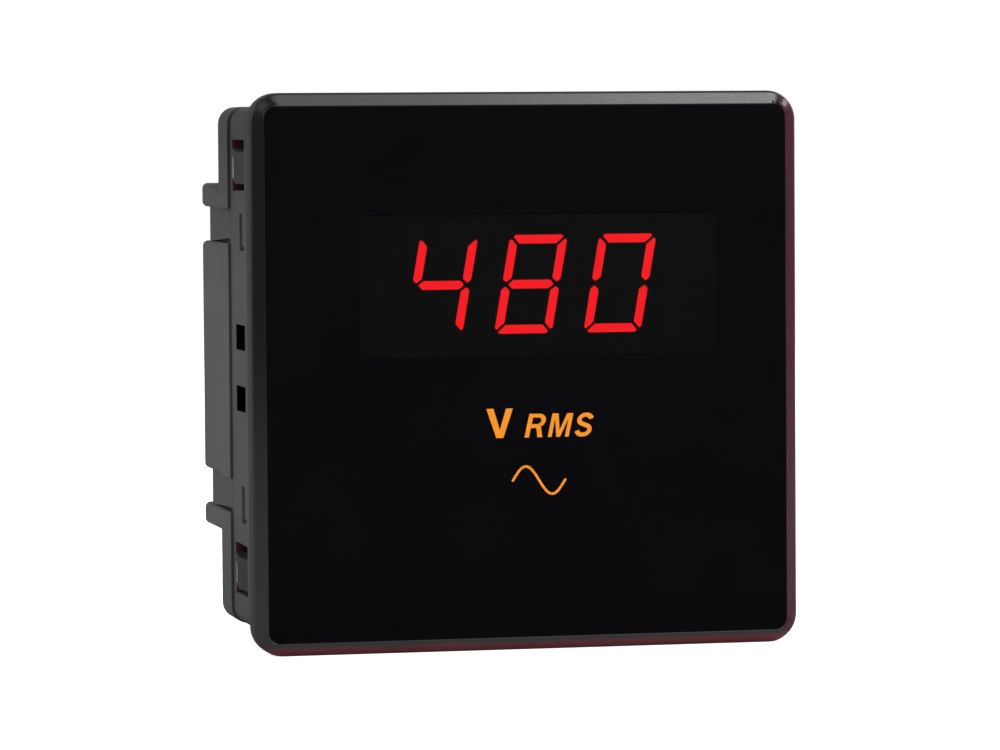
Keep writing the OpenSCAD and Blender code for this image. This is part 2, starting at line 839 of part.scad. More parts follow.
module case_body() {
    color([0.27, 0.27, 0.28])
    difference() {
        rounded_bar(case_w, case_h, case_corner_r, wall_back_y, seam_y);
        case_hollow(0, wall_back_y - past, seam_y + past);
        case_hollow(lip_t + lip_gap, seam_y - lip_len - 2 * lip_gap, seam_y + past);
        for (side = [0, 1]) mirror([side, 0, 0]) {
            for (z = [-snap_z, snap_z])
                block([case_in_x - past, side_opening_y, z - snap_window_h / 2],
                      [case_x + past, side_opening_end, z + snap_window_h / 2]);
            for (z = [-socket_z, socket_z])
                block([case_in_x - past, socket_y, z - socket_h / 2],
                      [case_x + past, socket_y + socket_len, z + socket_h / 2]);
            ratchet_stop(upper_track_z - 1, upper_track_z + track_h - 0.8);
            ratchet_stop(lower_track_z - track_h - 1, lower_track_z - 0.8);
        }
        for (z = [-case_z - past, case_in_z - past]) {
            slot_row(vent_count, vent_w, vent_len, 2 * vent_w + 0.8, side_opening_y - 3,
                     z, z + case_wall + 2 * past);
            for (s = [-1, 1])
                block([s * catch_x - catch_w / 2 - 0.3, catch_y, z],
                      [s * catch_x + catch_w / 2 + 0.3, catch_y + catch_len, z + case_wall + 2 * past]);
        }
    }
}

// ---------- rear cover ----------

// Sprung catch rooted inside the cover; its nose sits in a slot of the case wall
module cover_catch() {
    top = case_in_z - lip_gap;
    under = top - 1.3;
    nose_y = catch_y + 0.2;
    nose_end_y = catch_y + catch_len - 0.2;
    nose_top = case_z - 0.4;
    translate([catch_x - catch_w / 2, 0, 0]) rotate([90, 0, 90])
        linear_extrude(catch_w)
            polygon([
                [seam_y + 2.2, under], [seam_y + 2.2, case_in_z + 0.3], [seam_y, case_in_z + 0.3],
                [seam_y, top], [nose_end_y, top], [nose_end_y, nose_top], [nose_y + 0.8, nose_top],
                [nose_y, top], [nose_y, under]
            ]);
}

// Bar across the whole width with rounded long edges, from z0 to z1
module cross_bar(half, z0, z1, edge_r, y0, y1) {
    translate([0, 0, (z0 + z1) / 2]) rounded_bar(2 * half, z1 - z0, edge_r, y0, y1);
}

module deck_outside() {
    buried_y = step_y - 5;
    rear_y = total_depth;
    side_bar(case_x - track_notch, buried_y, rear_y, -deck_bottom_z, deck_top_z, rear_corner_r);
    cross_bar(case_x, -deck_bottom_z, deck_top_z, 0.4, buried_y, rear_y - track_stop);
    cross_bar(skin_x, deck_top_z - upper_tab_h, deck_top_z, tab_edge_r, buried_y, rear_y);
    cross_bar(skin_x, lower_track_z, upper_track_z, tab_edge_r, buried_y, rear_y);
    cross_bar(skin_x, -deck_bottom_z, -deck_bottom_z + lower_tab_h, tab_edge_r, buried_y, rear_y);
}

// Channel for a clamp, open at the rear, with a groove that tapers off along its lower edge
module clamp_track(z) {
    groove_depth = 1;
    block([case_x, seam_y - past, z], [skin_x + past, total_depth + past, z + track_h]);
    translate([case_x - groove_depth, 0, 0]) rotate([90, 0, 90])
        linear_extrude(skin_x + past)
            polygon([
                [seam_y + 0.8, z], [seam_y + 0.8, z + track_groove_h], [seam_y + 2, z + track_groove_h],
                [total_depth - track_stop - 2, z + 0.1], [total_depth - track_stop - 2, z]
            ]);
}

module rear_cover() {
    color([0.3, 0.3, 0.31])
    difference() {
        union() {
            difference() {
                union() {
                    rounded_bar(2 * skin_x, case_h, case_corner_r, seam_y, step_y);
                    deck_outside();
                }
                for (side = [0, 1], z = [lower_track_z - track_h, upper_track_z])
                    mirror([side, 0, 0]) clamp_track(z);
                case_hollow(0, seam_y - past, step_floor_y);
                block([-deck_in_x, step_floor_y - past, -deck_bottom_z + cover_wall],
                      [deck_in_x, rear_floor_y, deck_top_z - cover_wall]);
            }
            difference() {
                case_hollow(lip_t, seam_y - lip_len, seam_y + 0.5);
                case_hollow(0, seam_y - lip_len - past, seam_y + past);
            }
            for (side = [0, 1], turn = [0, 1]) mirror([side, 0, 0]) mirror([0, 0, turn]) cover_catch();
            at_corners(main_screw_x, main_screw_z) rod(boss_d, main_back_y, step_floor_y + 0.5);
        }
        at_corners(main_screw_x, main_screw_z)
            rod(board_screw_d + 2 * hole_gap, main_back_y - past, main_board_y + main_screw_len + 0.4);
        tail_places() block([-tail_w / 2 - 0.3, step_floor_y - past, -tail_t / 2 - 0.3],
                            [tail_w / 2 + 0.3, step_y + past, tail_t / 2 + 0.3]);
        rotate([90, 0, 0])
            for (z = [-rear_vent_z, rear_vent_z])
                translate([0, z, 0])
                    slot_row(rear_vent_count, vent_w, rear_vent_len, 2 * vent_w + 1.6, 0,
                             -total_depth - past, -rear_floor_y + past);
    }
}

// ---------- terminals ----------

module pole_places() {
    for (i = [0 : POLES - 1]) translate([(i - (POLES - 1) / 2) * pole_pitch, 0, pole_z]) children();
}

module terminal_block() {
    color([0.1, 0.1, 0.11])
    difference() {
        block([-block_w / 2, step_y, block_z0], [block_w / 2, total_depth, block_z1]);
        for (i = [0 : POLES - 1])
            translate([(i - (POLES - 1) / 2) * pole_pitch, 0, 0])
                block([-pole_in / 2, contact_y, block_z0 + block_sill],
                      [pole_in / 2, total_depth + past, block_z1 + past]);
        pole_places() {
            rod(collar_d + 0.4, contact_y - collar_len - 0.2, contact_y + past);
            rod(clamp_screw_d + 1, step_y + 0.6, contact_y + past);
        }
        tail_places() block([-tail_w / 2 - 0.2, step_y - past, -tail_t / 2 - 0.2],
                            [tail_w / 2 + 0.2, contact_y + past, tail_t / 2 + 0.2]);
    }
}

// Contact plate with a threaded collar and a tail that is soldered in the main board
module terminal_contact(index) {
    x = (index - (POLES + 1) / 2) * pole_pitch;
    color([0.83, 0.8, 0.68])
    translate([x, 0, 0])
    difference() {
        union() {
            block([-pole_in / 2 + contact_gap, contact_y, block_z0 + block_sill + contact_gap],
                  [pole_in / 2 - contact_gap, contact_top_y, block_z1 - 1]);
            translate([0, 0, pole_z]) rod(collar_d, contact_y - collar_len, contact_y + 0.2);
            block([-tail_w / 2, main_board_y - 1, tail_z - tail_t / 2],
                  [tail_w / 2, contact_y + 0.2, tail_z + tail_t / 2]);
        }
        translate([0, 0, pole_z])
            rod(clamp_screw_d + 2 * hole_gap, contact_y - collar_len - past, contact_top_y + past);
    }
}

// Square saddle with two lips bent up beside the screw head
module wire_saddle(index) {
    x = (index - (POLES + 1) / 2) * pole_pitch;
    half = saddle_size / 2;
    color([0.75, 0.75, 0.77])
    translate([x, 0, pole_z])
    difference() {
        union() {
            block([-half, contact_top_y, -half], [half, saddle_top_y, half]);
            for (s = [-1, 1])
                block([s > 0 ? half - 0.1 : -half - 0.4, contact_top_y, -half],
                      [s > 0 ? half + 0.4 : -half + 0.1, saddle_top_y + 0.8, half]);
        }
        rod(clamp_screw_d + 0.3, contact_top_y - past, saddle_top_y + past);
    }
}

module terminal_screw(index) {
    x = (index - (POLES + 1) / 2) * pole_pitch;
    color([0.72, 0.72, 0.74])
    translate([x, saddle_top_y, pole_z])
        pan_screw(clamp_screw_d, clamp_screw_len, clamp_head_d, clamp_head_h, 1.1);
}

front_bezel();
front_film();
display_window();
digit(-1);  // digit_left
digit(0);  // digit_middle
digit(1);  // digit_right
lit_bars("bcfg", -1);  // lit_bars_left
lit_bars("abcdefg", 0);  // lit_bars_middle
lit_bars("abcdef", 1);  // lit_bars_right
dark_bars();
digit_pins();
display_board();
display_screws();
microcontroller();
crystal();
link_header();
link_pins();
main_board();
main_screws();
transformer_core();
transformer_bobbin();
transformer_winding();
supply_capacitor();
bridge_rectifier();
voltage_regulator();
input_resistors();
varistor();
case_body();
rear_cover();
terminal_block();
terminal_contact(1);  // terminal_contact_1
terminal_contact(2);  // terminal_contact_2
terminal_contact(3);  // terminal_contact_3
terminal_contact(4);  // terminal_contact_4
wire_saddle(1);  // wire_saddle_1
wire_saddle(2);  // wire_saddle_2
wire_saddle(3);  // wire_saddle_3
wire_saddle(4);  // wire_saddle_4
terminal_screw(1);  // terminal_screw_1
terminal_screw(2);  // terminal_screw_2
terminal_screw(3);  // terminal_screw_3
terminal_screw(4);  // terminal_screw_4
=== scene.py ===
# Digital panel meter: finishes, print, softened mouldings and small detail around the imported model.
import json
import math

import bmesh
import bpy
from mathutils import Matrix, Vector
from mathutils.bvhtree import BVHTree


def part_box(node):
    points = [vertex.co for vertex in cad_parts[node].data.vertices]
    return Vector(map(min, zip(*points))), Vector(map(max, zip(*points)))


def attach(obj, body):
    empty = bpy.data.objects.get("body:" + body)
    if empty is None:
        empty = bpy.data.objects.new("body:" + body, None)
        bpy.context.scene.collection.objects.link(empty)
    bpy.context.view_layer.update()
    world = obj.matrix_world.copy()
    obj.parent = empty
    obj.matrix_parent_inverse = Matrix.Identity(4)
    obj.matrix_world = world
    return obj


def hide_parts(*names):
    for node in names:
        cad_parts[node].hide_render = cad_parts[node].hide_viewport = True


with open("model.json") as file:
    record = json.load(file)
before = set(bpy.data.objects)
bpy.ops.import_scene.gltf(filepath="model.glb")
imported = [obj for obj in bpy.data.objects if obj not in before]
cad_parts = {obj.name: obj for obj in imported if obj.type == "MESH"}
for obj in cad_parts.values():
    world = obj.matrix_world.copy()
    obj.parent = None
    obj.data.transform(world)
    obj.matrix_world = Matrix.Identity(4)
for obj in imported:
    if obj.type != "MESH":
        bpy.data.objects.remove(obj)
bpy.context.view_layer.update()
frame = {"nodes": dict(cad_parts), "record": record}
nodes = frame["nodes"]
print("frame loaded:", len(nodes), "nodes")

mm = 0.001


def addNode(tree, kind, inputs=None, **settings):
    # inputs holds plain values, or sockets to link from
    node = tree.nodes.new(kind)
    for name, value in settings.items():
        setattr(node, name, value)
    for name, value in (inputs or {}).items():
        if isinstance(value, bpy.types.NodeSocket):
            tree.links.new(value, node.inputs[name])
        else:
            node.inputs[name].default_value = value
    return node


def calc(tree, operation, *terms):
    return addNode(tree, "ShaderNodeMath", dict(enumerate(terms)), operation=operation).outputs[0]


def remap(tree, value, low, high, toLow, toHigh):
    node = addNode(tree, "ShaderNodeMapRange", {0: value, 1: low, 2: high, 3: toLow, 4: toHigh})
    return node.outputs["Result"]


def smoothShare(tree, value, low, high):
    node = addNode(tree, "ShaderNodeMapRange", {0: value, 1: low, 2: high}, interpolation_type="SMOOTHSTEP")
    return node.outputs["Result"]


def startMaterial(name, **values):
    # values are set on the shader's own sockets; underscores stand for spaces
    material = bpy.data.materials.new(name)
    material.use_nodes = True
    tree = material.node_tree
    shader = tree.nodes["Principled BSDF"]
    for label, value in values.items():
        value = (*value, 1.0) if isinstance(value, tuple) else value
        shader.inputs[label.replace("_", " ")].default_value = value
    return material, tree, shader


def objectCoords(tree):
    return tree.nodes.new("ShaderNodeTexCoord").outputs["Object"]


def noise(tree, coords, size, detail=3.0):
    # size is the width of one cell in metres
    node = addNode(tree, "ShaderNodeTexNoise", {"Vector": coords, "Scale": 1.0 / size, "Detail": detail,
                                                "Roughness": 0.55})
    return node.outputs["Fac"]


def mixColours(tree, factor, first, second):
    node = tree.nodes.new("ShaderNodeMix")
    node.data_type = "RGBA"
    tree.links.new(factor, node.inputs[0])
    for socket, colour in zip(node.inputs[6:8], (first, second)):
        if isinstance(colour, bpy.types.NodeSocket):
            tree.links.new(colour, socket)
        else:
            socket.default_value = (*colour, 1.0)
    return node.outputs[2]


def addBump(tree, shader, height, strength, depth):
    bump = addNode(tree, "ShaderNodeBump", {"Height": height, "Strength": strength, "Distance": depth})
    tree.links.new(bump.outputs["Normal"], shader.inputs["Normal"])


def mouldedPlastic(name, colour, cloudColour, roughness, specular, grain=0.3, depth=0.01):
    # two shades in soft clouds, and a fine grain whose cell size and depth are in millimetres
    material, tree, shader = startMaterial(name, Specular_IOR_Level=specular)
    coords = objectCoords(tree)
    cloud = remap(tree, noise(tree, coords, 0.018), 0.35, 0.65, 0.0, 1.0)
    fine = noise(tree, coords, grain * mm, 2.0)
    tree.links.new(mixColours(tree, cloud, colour, cloudColour), shader.inputs["Base Color"])
    rough = remap(tree, fine, 0.3, 0.7, roughness - 0.04, roughness + 0.05)
    tree.links.new(rough, shader.inputs["Roughness"])
    addBump(tree, shader, fine, 0.5, depth * mm)
    return material


# painted shade on the case: the tone deepens to the deep colour over this height range towards the top; faces
# set back more than the step are darker by the sunken share
caseTone = {"paintedShadeRise": (12.0 * mm, 44.0 * mm), "deep": (0.52, 0.51, 0.51), "sunken": (0.8, 0.8, 0.8),
            "step": 0.4 * mm}
white = (1.0, 1.0, 1.0)


def casePlastic(name, colour, cloudColour, outstanding):
    # the case's plastic, with painted shade that deepens its tone towards the top, and paler from the given
    # distance off the middle
    material = mouldedPlastic(name, colour, cloudColour, 0.8, 0.1, 0.35, 0.03)
    tree = material.node_tree
    shader = tree.nodes["Principled BSDF"]
    axes = addNode(tree, "ShaderNodeSeparateXYZ", {0: objectCoords(tree)})
    tone = shader.inputs["Base Color"].links[0].from_socket
    # painted shade: darker towards the top
    rise = smoothShare(tree, axes.outputs["Z"], *caseTone["paintedShadeRise"])
    reach = calc(tree, "ABSOLUTE", axes.outputs["X"])
    raised = smoothShare(tree, reach, outstanding - caseTone["step"], outstanding)
    for share, first, second in ((rise, white, caseTone["deep"]), (raised, caseTone["sunken"], white)):
        factor = mixColours(tree, share, first, second)
        tone = addNode(tree, "ShaderNodeVectorMath", {0: tone, 1: factor}, operation="MULTIPLY").outputs[0]
    tree.links.new(tone, shader.inputs["Base Color"])
    return material


def plainMetal(name, colour, roughness, streak=1.4):
    # plated metal with a faint streaky grain; streak is its cell size in millimetres
    material, tree, shader = startMaterial(name, Base_Color=colour, Metallic=1.0)
    fine = noise(tree, objectCoords(tree), streak * mm, 4.0)
    rough = remap(tree, fine, 0.3, 0.7, roughness - 0.08, roughness + 0.1)
    tree.links.new(rough, shader.inputs["Roughness"])
    addBump(tree, shader, fine, 0.2, 0.02 * mm)
    return material


# Where the bezel's colour carries painted light: painted paler down the left edge, and a painted warm glow
# towards the right side and the underside
edgePaintedLight = {"fall": (-12.0 * mm, 36.0 * mm), "side": (44.0 * mm, 46.5 * mm), "under": (45.9 * mm, 47.3 * mm),
            "drift": 0.3 * mm}


def edgePlastic(name, upper, lower, side, under, roughness, specular):
    # smoked plastic with painted light: painted paler downwards, and a painted warm glow at the right and
    # along the underside, where light shines through the thin plastic
    material, tree, shader = startMaterial(name, Specular_IOR_Level=specular)
    coords = objectCoords(tree)
    axes = addNode(tree, "ShaderNodeSeparateXYZ", {0: coords})
    cloud = remap(tree, noise(tree, coords, 0.02), 0.3, 0.7, -edgePaintedLight["drift"], edgePaintedLight["drift"])
    # painted light: paler downwards, then a painted warm glow at the right side and along the underside
    fall = calc(tree, "MULTIPLY", axes.outputs["Z"], -1.0)
    colour = mixColours(tree, smoothShare(tree, fall, *edgePaintedLight["fall"]), upper, lower)
    across = calc(tree, "ADD", axes.outputs["X"], cloud)
    colour = mixColours(tree, smoothShare(tree, across, *edgePaintedLight["side"]), colour, side)
    below = calc(tree, "ADD", fall, cloud)
    colour = mixColours(tree, smoothShare(tree, below, *edgePaintedLight["under"]), colour, under)
    tree.links.new(colour, shader.inputs["Base Color"])
    fine = noise(tree, coords, 0.4 * mm, 2.0)
    rough = remap(tree, fine, 0.3, 0.7, roughness - 0.03, roughness + 0.03)
    tree.links.new(rough, shader.inputs["Roughness"])
    addBump(tree, shader, fine, 0.3, 0.002 * mm)
    return material


def litResin(name, colour, strength):
    # diffusing resin, a little brighter in clouds where the chip sits behind it
    material, tree, shader = startMaterial(name, Base_Color=colour, Roughness=0.5, Emission_Strength=strength,
                                           Specular_IOR_Level=0.1)
    cloud = remap(tree, noise(tree, objectCoords(tree), 0.004), 0.3, 0.7, 0.0, 1.0)
    dim = tuple(0.94 * part for part in colour)
    tree.links.new(mixColours(tree, cloud, dim, colour), shader.inputs["Emission Color"])
    return material


def smokedLens(name, colour, cover):
    material, tree, shader = startMaterial(name, Base_Color=colour, Alpha=cover, Specular_IOR_Level=0.01)
    fine = noise(tree, objectCoords(tree), 3.0 * mm, 2.0)
    tree.links.new(remap(tree, fine, 0.3, 0.7, 0.25, 0.33), shader.inputs["Roughness"])
    return material


def circuitBoard(name, mask, copper, gap, cellsPerMetre=220.0):
    # solder mask over copper areas, with darker gaps where the copper is etched away
    material, tree, shader = startMaterial(name, Specular_IOR_Level=0.4)
    coords = objectCoords(tree)
    cells = addNode(tree, "ShaderNodeTexVoronoi", {"Vector": coords, "Scale": cellsPerMetre},
                    feature="DISTANCE_TO_EDGE")
    etched = remap(tree, cells.outputs["Distance"], 0.05, 0.07, 0.0, 1.0)
    cloud = noise(tree, coords, 0.01)
    body = mixColours(tree, cloud, mask, copper)
    tree.links.new(mixColours(tree, etched, gap, body), shader.inputs["Base Color"])
    tree.links.new(remap(tree, cloud, 0.3, 0.7, 0.28, 0.38), shader.inputs["Roughness"])
    addBump(tree, shader, etched, 0.6, 0.03 * mm)
    return material


def bandedResistor(name, middle, halfLength, bands):
    # lacquered body with colour bands along Z, and bare leads beyond its ends
    material, tree, shader = startMaterial(name, Specular_IOR_Level=0.4)
    coords = objectCoords(tree)
    z = addNode(tree, "ShaderNodeSeparateXYZ", {0: coords}).outputs["Z"]
    ramp = addNode(tree, "ShaderNodeValToRGB",
                   {"Fac": remap(tree, z, middle - halfLength, middle + halfLength, 0.0, 1.0)})
    ramp.color_ramp.interpolation = "CONSTANT"
    for position, colour in bands:
        stop = ramp.color_ramp.elements.new(position)
        stop.color = (*colour, 1.0)
    for spare in (ramp.color_ramp.elements[0], ramp.color_ramp.elements[-1]):
        spare.color = (*bands[0][1], 1.0)
    lead = calc(tree, "GREATER_THAN", calc(tree, "ABSOLUTE", calc(tree, "SUBTRACT", z, middle)), halfLength)
    colour = mixColours(tree, lead, ramp.outputs["Color"], (0.7, 0.7, 0.72))
    tree.links.new(colour, shader.inputs["Base Color"])
    tree.links.new(lead, shader.inputs["Metallic"])
    tree.links.new(remap(tree, noise(tree, coords, 0.002), 0.3, 0.7, 0.3, 0.42), shader.inputs["Roughness"])
    return material


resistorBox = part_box("input_resistors")
resistorMiddle = (resistorBox[0][2] + resistorBox[1][2]) / 2
tan, brown = (0.42, 0.28, 0.15), (0.12, 0.04, 0.02)
darkBand, gold = (0.01, 0.01, 0.01), (0.55, 0.36, 0.1)

finishes = {
    # the bezel's lower, right side and underside colours are painted light: a paler lower part and a warm
    # glow
    "bezel_black": edgePlastic("bezelBlack", (0.0018, 0.0018, 0.0026), (0.016, 0.0145, 0.0165),
                               (0.029, 0.004, 0.008), (0.08, 0.016, 0.022), 0.24, 0.12),
    "film_black": mouldedPlastic("filmBlack", (0.0018, 0.0017, 0.0022), (0.0021, 0.002, 0.0025), 0.55, 0.004,
                                 0.3, 0.004),
    "window_smoke": smokedLens("windowSmoke", (0.0027, 0.0027, 0.0027), 0.8),
    "digit_housing": mouldedPlastic("digitHousing", (0.005, 0.005, 0.0053), (0.006, 0.006, 0.0063),
                                    0.6, 0.05),
    "lit_red": litResin("litRed", (0.85, 0.0085, 0.0135), 27.0),
    "dark_red": mouldedPlastic("darkRed", (0.012, 0.004, 0.004), (0.014, 0.004, 0.004), 0.5, 0.1),
    "case_grey": casePlastic("caseGrey", (0.042, 0.041, 0.0435), (0.048, 0.047, 0.0495), 45.1 * mm),
    "cover_grey": casePlastic("coverGrey", (0.05, 0.05, 0.051), (0.058, 0.058, 0.059), 45.6 * mm),
    "terminal_black": mouldedPlastic("terminalBlack", (0.012, 0.012, 0.013), (0.016, 0.016, 0.017),
                                     0.45, 0.4, 0.5, 0.03),
    "board_green": circuitBoard("boardGreen", (0.012, 0.1, 0.034), (0.02, 0.14, 0.05), (0.006, 0.05, 0.018)),
    "header_black": mouldedPlastic("headerBlack", (0.02, 0.02, 0.022), (0.025, 0.025, 0.027),
                                   0.5, 0.4, 0.5, 0.02),
    "chip_black": mouldedPlastic("chipBlack", (0.02, 0.02, 0.022), (0.024, 0.024, 0.026),
                                 0.6, 0.4, 0.3, 0.02),
    "bobbin_nylon": mouldedPlastic("bobbinNylon", (0.6, 0.56, 0.46), (0.64, 0.6, 0.5), 0.45, 0.5, 0.6, 0.02),
    "capacitor_sleeve": mouldedPlastic("capacitorSleeve", (0.01, 0.014, 0.06), (0.012, 0.016, 0.07),
                                       0.3, 0.5, 1.0, 0.01),
    "resistor_body": bandedResistor("resistorBody", resistorMiddle, 5.0 * mm,
                                    [(0.001, tan), (0.16, brown), (0.26, tan), (0.36, darkBand), (0.46, tan),
                                     (0.56, brown), (0.66, tan), (0.78, gold), (0.88, tan)]),
    "varistor_blue": mouldedPlastic("varistorBlue", (0.02, 0.08, 0.3), (0.025, 0.09, 0.32),
                                    0.35, 0.5, 0.8, 0.02),
    "winding_tape": mouldedPlastic("windingTape", (0.52, 0.3, 0.06), (0.58, 0.34, 0.07),
                                   0.35, 0.5, 1.0, 0.02),
    "tinned_leg": plainMetal("tinnedLeg", (0.7, 0.7, 0.72), 0.3),
    "zinc_screw": plainMetal("zincScrew", (0.62, 0.63, 0.66), 0.32),
    "crystal_can": plainMetal("crystalCan", (0.72, 0.72, 0.74), 0.3, 2.0),
    "gold_pin": plainMetal("goldPin", (0.86, 0.62, 0.22), 0.25),
    "core_iron": plainMetal("coreIron", (0.22, 0.22, 0.24), 0.45, 2.5),
    "contact_brass": plainMetal("contactBrass", (0.78, 0.72, 0.55), 0.3, 1.7),
    "saddle_steel": plainMetal("saddleSteel", (0.66, 0.67, 0.7), 0.33, 1.7),
    "terminal_screw_steel": plainMetal("terminalScrewSteel", (0.64, 0.64, 0.66), 0.28),
}
# the rim's right side and underside colours are a painted warm glow as well
rimPlastic = edgePlastic("bezelRim", (0.024, 0.022, 0.025), (0.024, 0.022, 0.025), (0.04, 0.01, 0.015),
                         (0.06, 0.016, 0.022), 0.75, 0.05)
# painted sheen: the bezel's hooks, seen through the windows, are painted grey
hookPaintedSheen = mouldedPlastic("hookPaintedSheen", (0.12, 0.12, 0.125), (0.13, 0.13, 0.135), 0.3, 0.3, 0.3, 0.004)
# painted warm glow of light through the bezel's arms, also a painted reflection on the case's window walls
paintedWarmGlowAndReflection = mouldedPlastic("paintedWarmGlowAndReflection", (0.05, 0.012, 0.02), (0.042, 0.01, 0.017), 0.5, 0.1, 0.3, 0.004)
# painted shade: near black for the hollows, slots and sockets where shade falls
paintedHollowShade = mouldedPlastic("paintedHollowShade", (0.0015, 0.0012, 0.0016), (0.002, 0.0015, 0.002),
                            0.8, 0.0, 0.3, 0.004)
printOrange = mouldedPlastic("printOrange", (0.56, 0.182, 0.014), (0.58, 0.188, 0.015), 0.6, 0.05, 0.2, 0.004)

slotOf = {part["node"]: part["material_slot"] for part in frame["record"]["subparts"]}
for name, piece in nodes.items():
    piece.data.materials.clear()
    piece.data.materials.append(finishes[slotOf[name]])
print("finishes made:", len(finishes))


def addPiece(name, mesh, body, replaced=()):
    piece = bpy.data.objects.new(name, mesh)
    bpy.context.scene.collection.objects.link(piece)
    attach(piece, body)
    if replaced:
        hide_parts(*replaced)
    return piece


def bakedMesh(piece):
    # the piece's mesh with its modifiers applied; the working object goes
    graph = bpy.context.evaluated_depsgraph_get()
    mesh = bpy.data.meshes.new_from_object(piece.evaluated_get(graph), depsgraph=graph)
    piece.modifiers.clear()
    bpy.data.objects.remove(piece)
    return mesh


def workObject(name, mesh):
    piece = bpy.data.objects.new(name, mesh)
    bpy.context.scene.collection.objects.link(piece)
    return piece


def shadeSmooth(mesh, sharpAngle):
    mesh.polygons.foreach_set("use_smooth", [True] * len(mesh.polygons))
    mesh.set_sharp_from_angle(angle=math.radians(sharpAngle))


def closeUp(mesh):
    # merges doubles and turns every shell's faces outwards
    work = bmesh.new()
    work.from_mesh(mesh)
    bmesh.ops.remove_doubles(work, verts=work.verts, dist=1e-7)
    bmesh.ops.recalc_face_normals(work, faces=work.faces)
    work.to_mesh(mesh)
    work.free()


# Mouldings whose edges are softened, with the width of the rounding in millimetres
softEdges = {"front_bezel": 0.45, "case_body": 0.18, "rear_cover": 0.15, "terminal_block": 0.2}
sharpDegrees = 32.0
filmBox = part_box("front_film")


def mergedCopy(name):
    # a CAD node's triangles joined into whole faces
    work = bmesh.new()
    work.from_mesh(nodes[name].data)
    bmesh.ops.remove_doubles(work, verts=work.verts, dist=1e-6)
    bmesh.ops.dissolve_limit(work, angle_limit=math.radians(0.6), verts=work.verts, edges=work.edges)
    return work


# Limits between an edge's zones, as distances from the middle or along Y
softZones = {"track reach": 44.6 * mm, "track height": 33.0 * mm, "inner x": 44.0 * mm, "inner z": 44.7 * mm,
             "panel": 0.1 * mm, "lip": -5.0 * mm, "lip margin": 0.3 * mm, "rim reach": 47.0 * mm,
             "corner reach": 90.0 * mm, "chamfer share": 0.45}


def softShare(name, edge, zones):
    # share of the full width given to an edge: none where the surface is nearly flat or turns inwards
    if edge.calc_face_angle(0.0) < math.radians(sharpDegrees) or not edge.is_convex:
        return 0.0
    ends = [vert.co for vert in edge.verts]
    if name == "rear_cover":
        # the clamp tracks and their stops have their own corner radii
        track = any(abs(end.x) > zones["track reach"] and abs(end.z) < zones["track height"] for end in ends)
        return 0.0 if track else 1.0
    if name == "case_body":
        inside = all(abs(end.x) < zones["inner x"] and abs(end.z) < zones["inner z"] for end in ends)
        return 0.0 if inside else 1.0
    if name != "front_bezel":
        return 1.0
    reach = min(max(abs(end.x), abs(end.z)) for end in ends)
    front = max(end.y for end in ends)
    onPanel = all(abs(end.y) < zones["panel"] for end in ends)
    # the lip stays crisp, so that the film sits tight in it
    inLip = front < zones["lip"] and reach < filmBox[1][0] + zones["lip margin"]
    if onPanel or inLip:
        return 0.0
    corner = front < 0.0 and max(abs(end.x) + abs(end.z) for end in ends) > zones["corner reach"]
    return 1.0 if reach > zones["rim reach"] or corner else zones["chamfer share"]


def softenedMesh(name, width):
    work = mergedCopy(name)
    surface = BVHTree.FromBMesh(work)
    weights = work.edges.layers.float.new("bevel_weight_edge")
    for edge in work.edges:
        edge[weights] = softShare(name, edge, softZones)
    mesh = bpy.data.meshes.new(name + "Soft")
    work.to_mesh(mesh)
    work.free()
    shadeSmooth(mesh, sharpDegrees)
    piece = workObject(name + "Soft", mesh)
    bevel = piece.modifiers.new("edges", "BEVEL")
    bevel.width = width * mm
    bevel.segments = 2
    bevel.limit_method = "WEIGHT"
    bevel.use_clamp_overlap = False
    bevel.loop_slide = False
    bevel.miter_outer = "MITER_ARC"
    normals = piece.modifiers.new("normals", "WEIGHTED_NORMAL")
    normals.keep_sharp = True
    soft = bakedMesh(piece)
    furthest = 1.2 * width * mm
    for vertex in soft.vertices:
        near, _, _, gap = surface.find_nearest(vertex.co)
        if gap > furthest:
            vertex.co = near   # a corner too tight for the round stays on the moulding
    return soft


# How far back the bezel's polished front and its rim go, and where its arms, their slots and hooks lie
bezelZones = {"arm front": 10.0 * mm, "polished back": -4.0 * mm, "arm side": 43.2 * mm,
              "upper arm": 30.0 * mm, "lower arm": (-36.0 * mm, 0.0), "slot side": 45.3 * mm,
              "slot": (27.8 * mm, 29.5 * mm), "hook front": 29.4 * mm}
# The case's clamp sockets and hook windows, sideways, along Y and in height on either side of the middle
caseZones = {"socket": ((42.0 * mm, 45.1 * mm), (19.0 * mm, 29.0 * mm), (-1.0 * mm, 8.0 * mm)),
             "window": ((43.0 * mm, 45.1 * mm), (29.5 * mm, 32.0 * mm), (30.0 * mm, 41.0 * mm))}
# the last three are painted sheen on the hooks, a painted warm glow on the arms, and painted shade in the
# hollows
polished, matt, paintedSheen, warmGlowPainted, hollowPaintedShade = range(5)   # the bezel's materials in order


def within(value, limits):
    return limits[0] < value < limits[1]


def bezelFinish(face):
    # hooks get painted sheen, arms a painted warm glow, hollows and slots painted shade
    x, y, z = face.center
    zones = bezelZones
    if y < zones["arm front"]:
        return polished if y < zones["polished back"] and face.normal.y < -0.15 else matt
    if abs(x) < zones["arm side"]:
        return warmGlowPainted if z > zones["upper arm"] or within(z, zones["lower arm"]) else hollowPaintedShade
    inSlot = abs(x) < zones["slot side"] and within(y, zones["slot"]) and abs(face.normal.x) > 0.9
    if inSlot or abs(face.normal.y) > 0.99:
        return hollowPaintedShade
    return paintedSheen if y > zones["hook front"] else matt


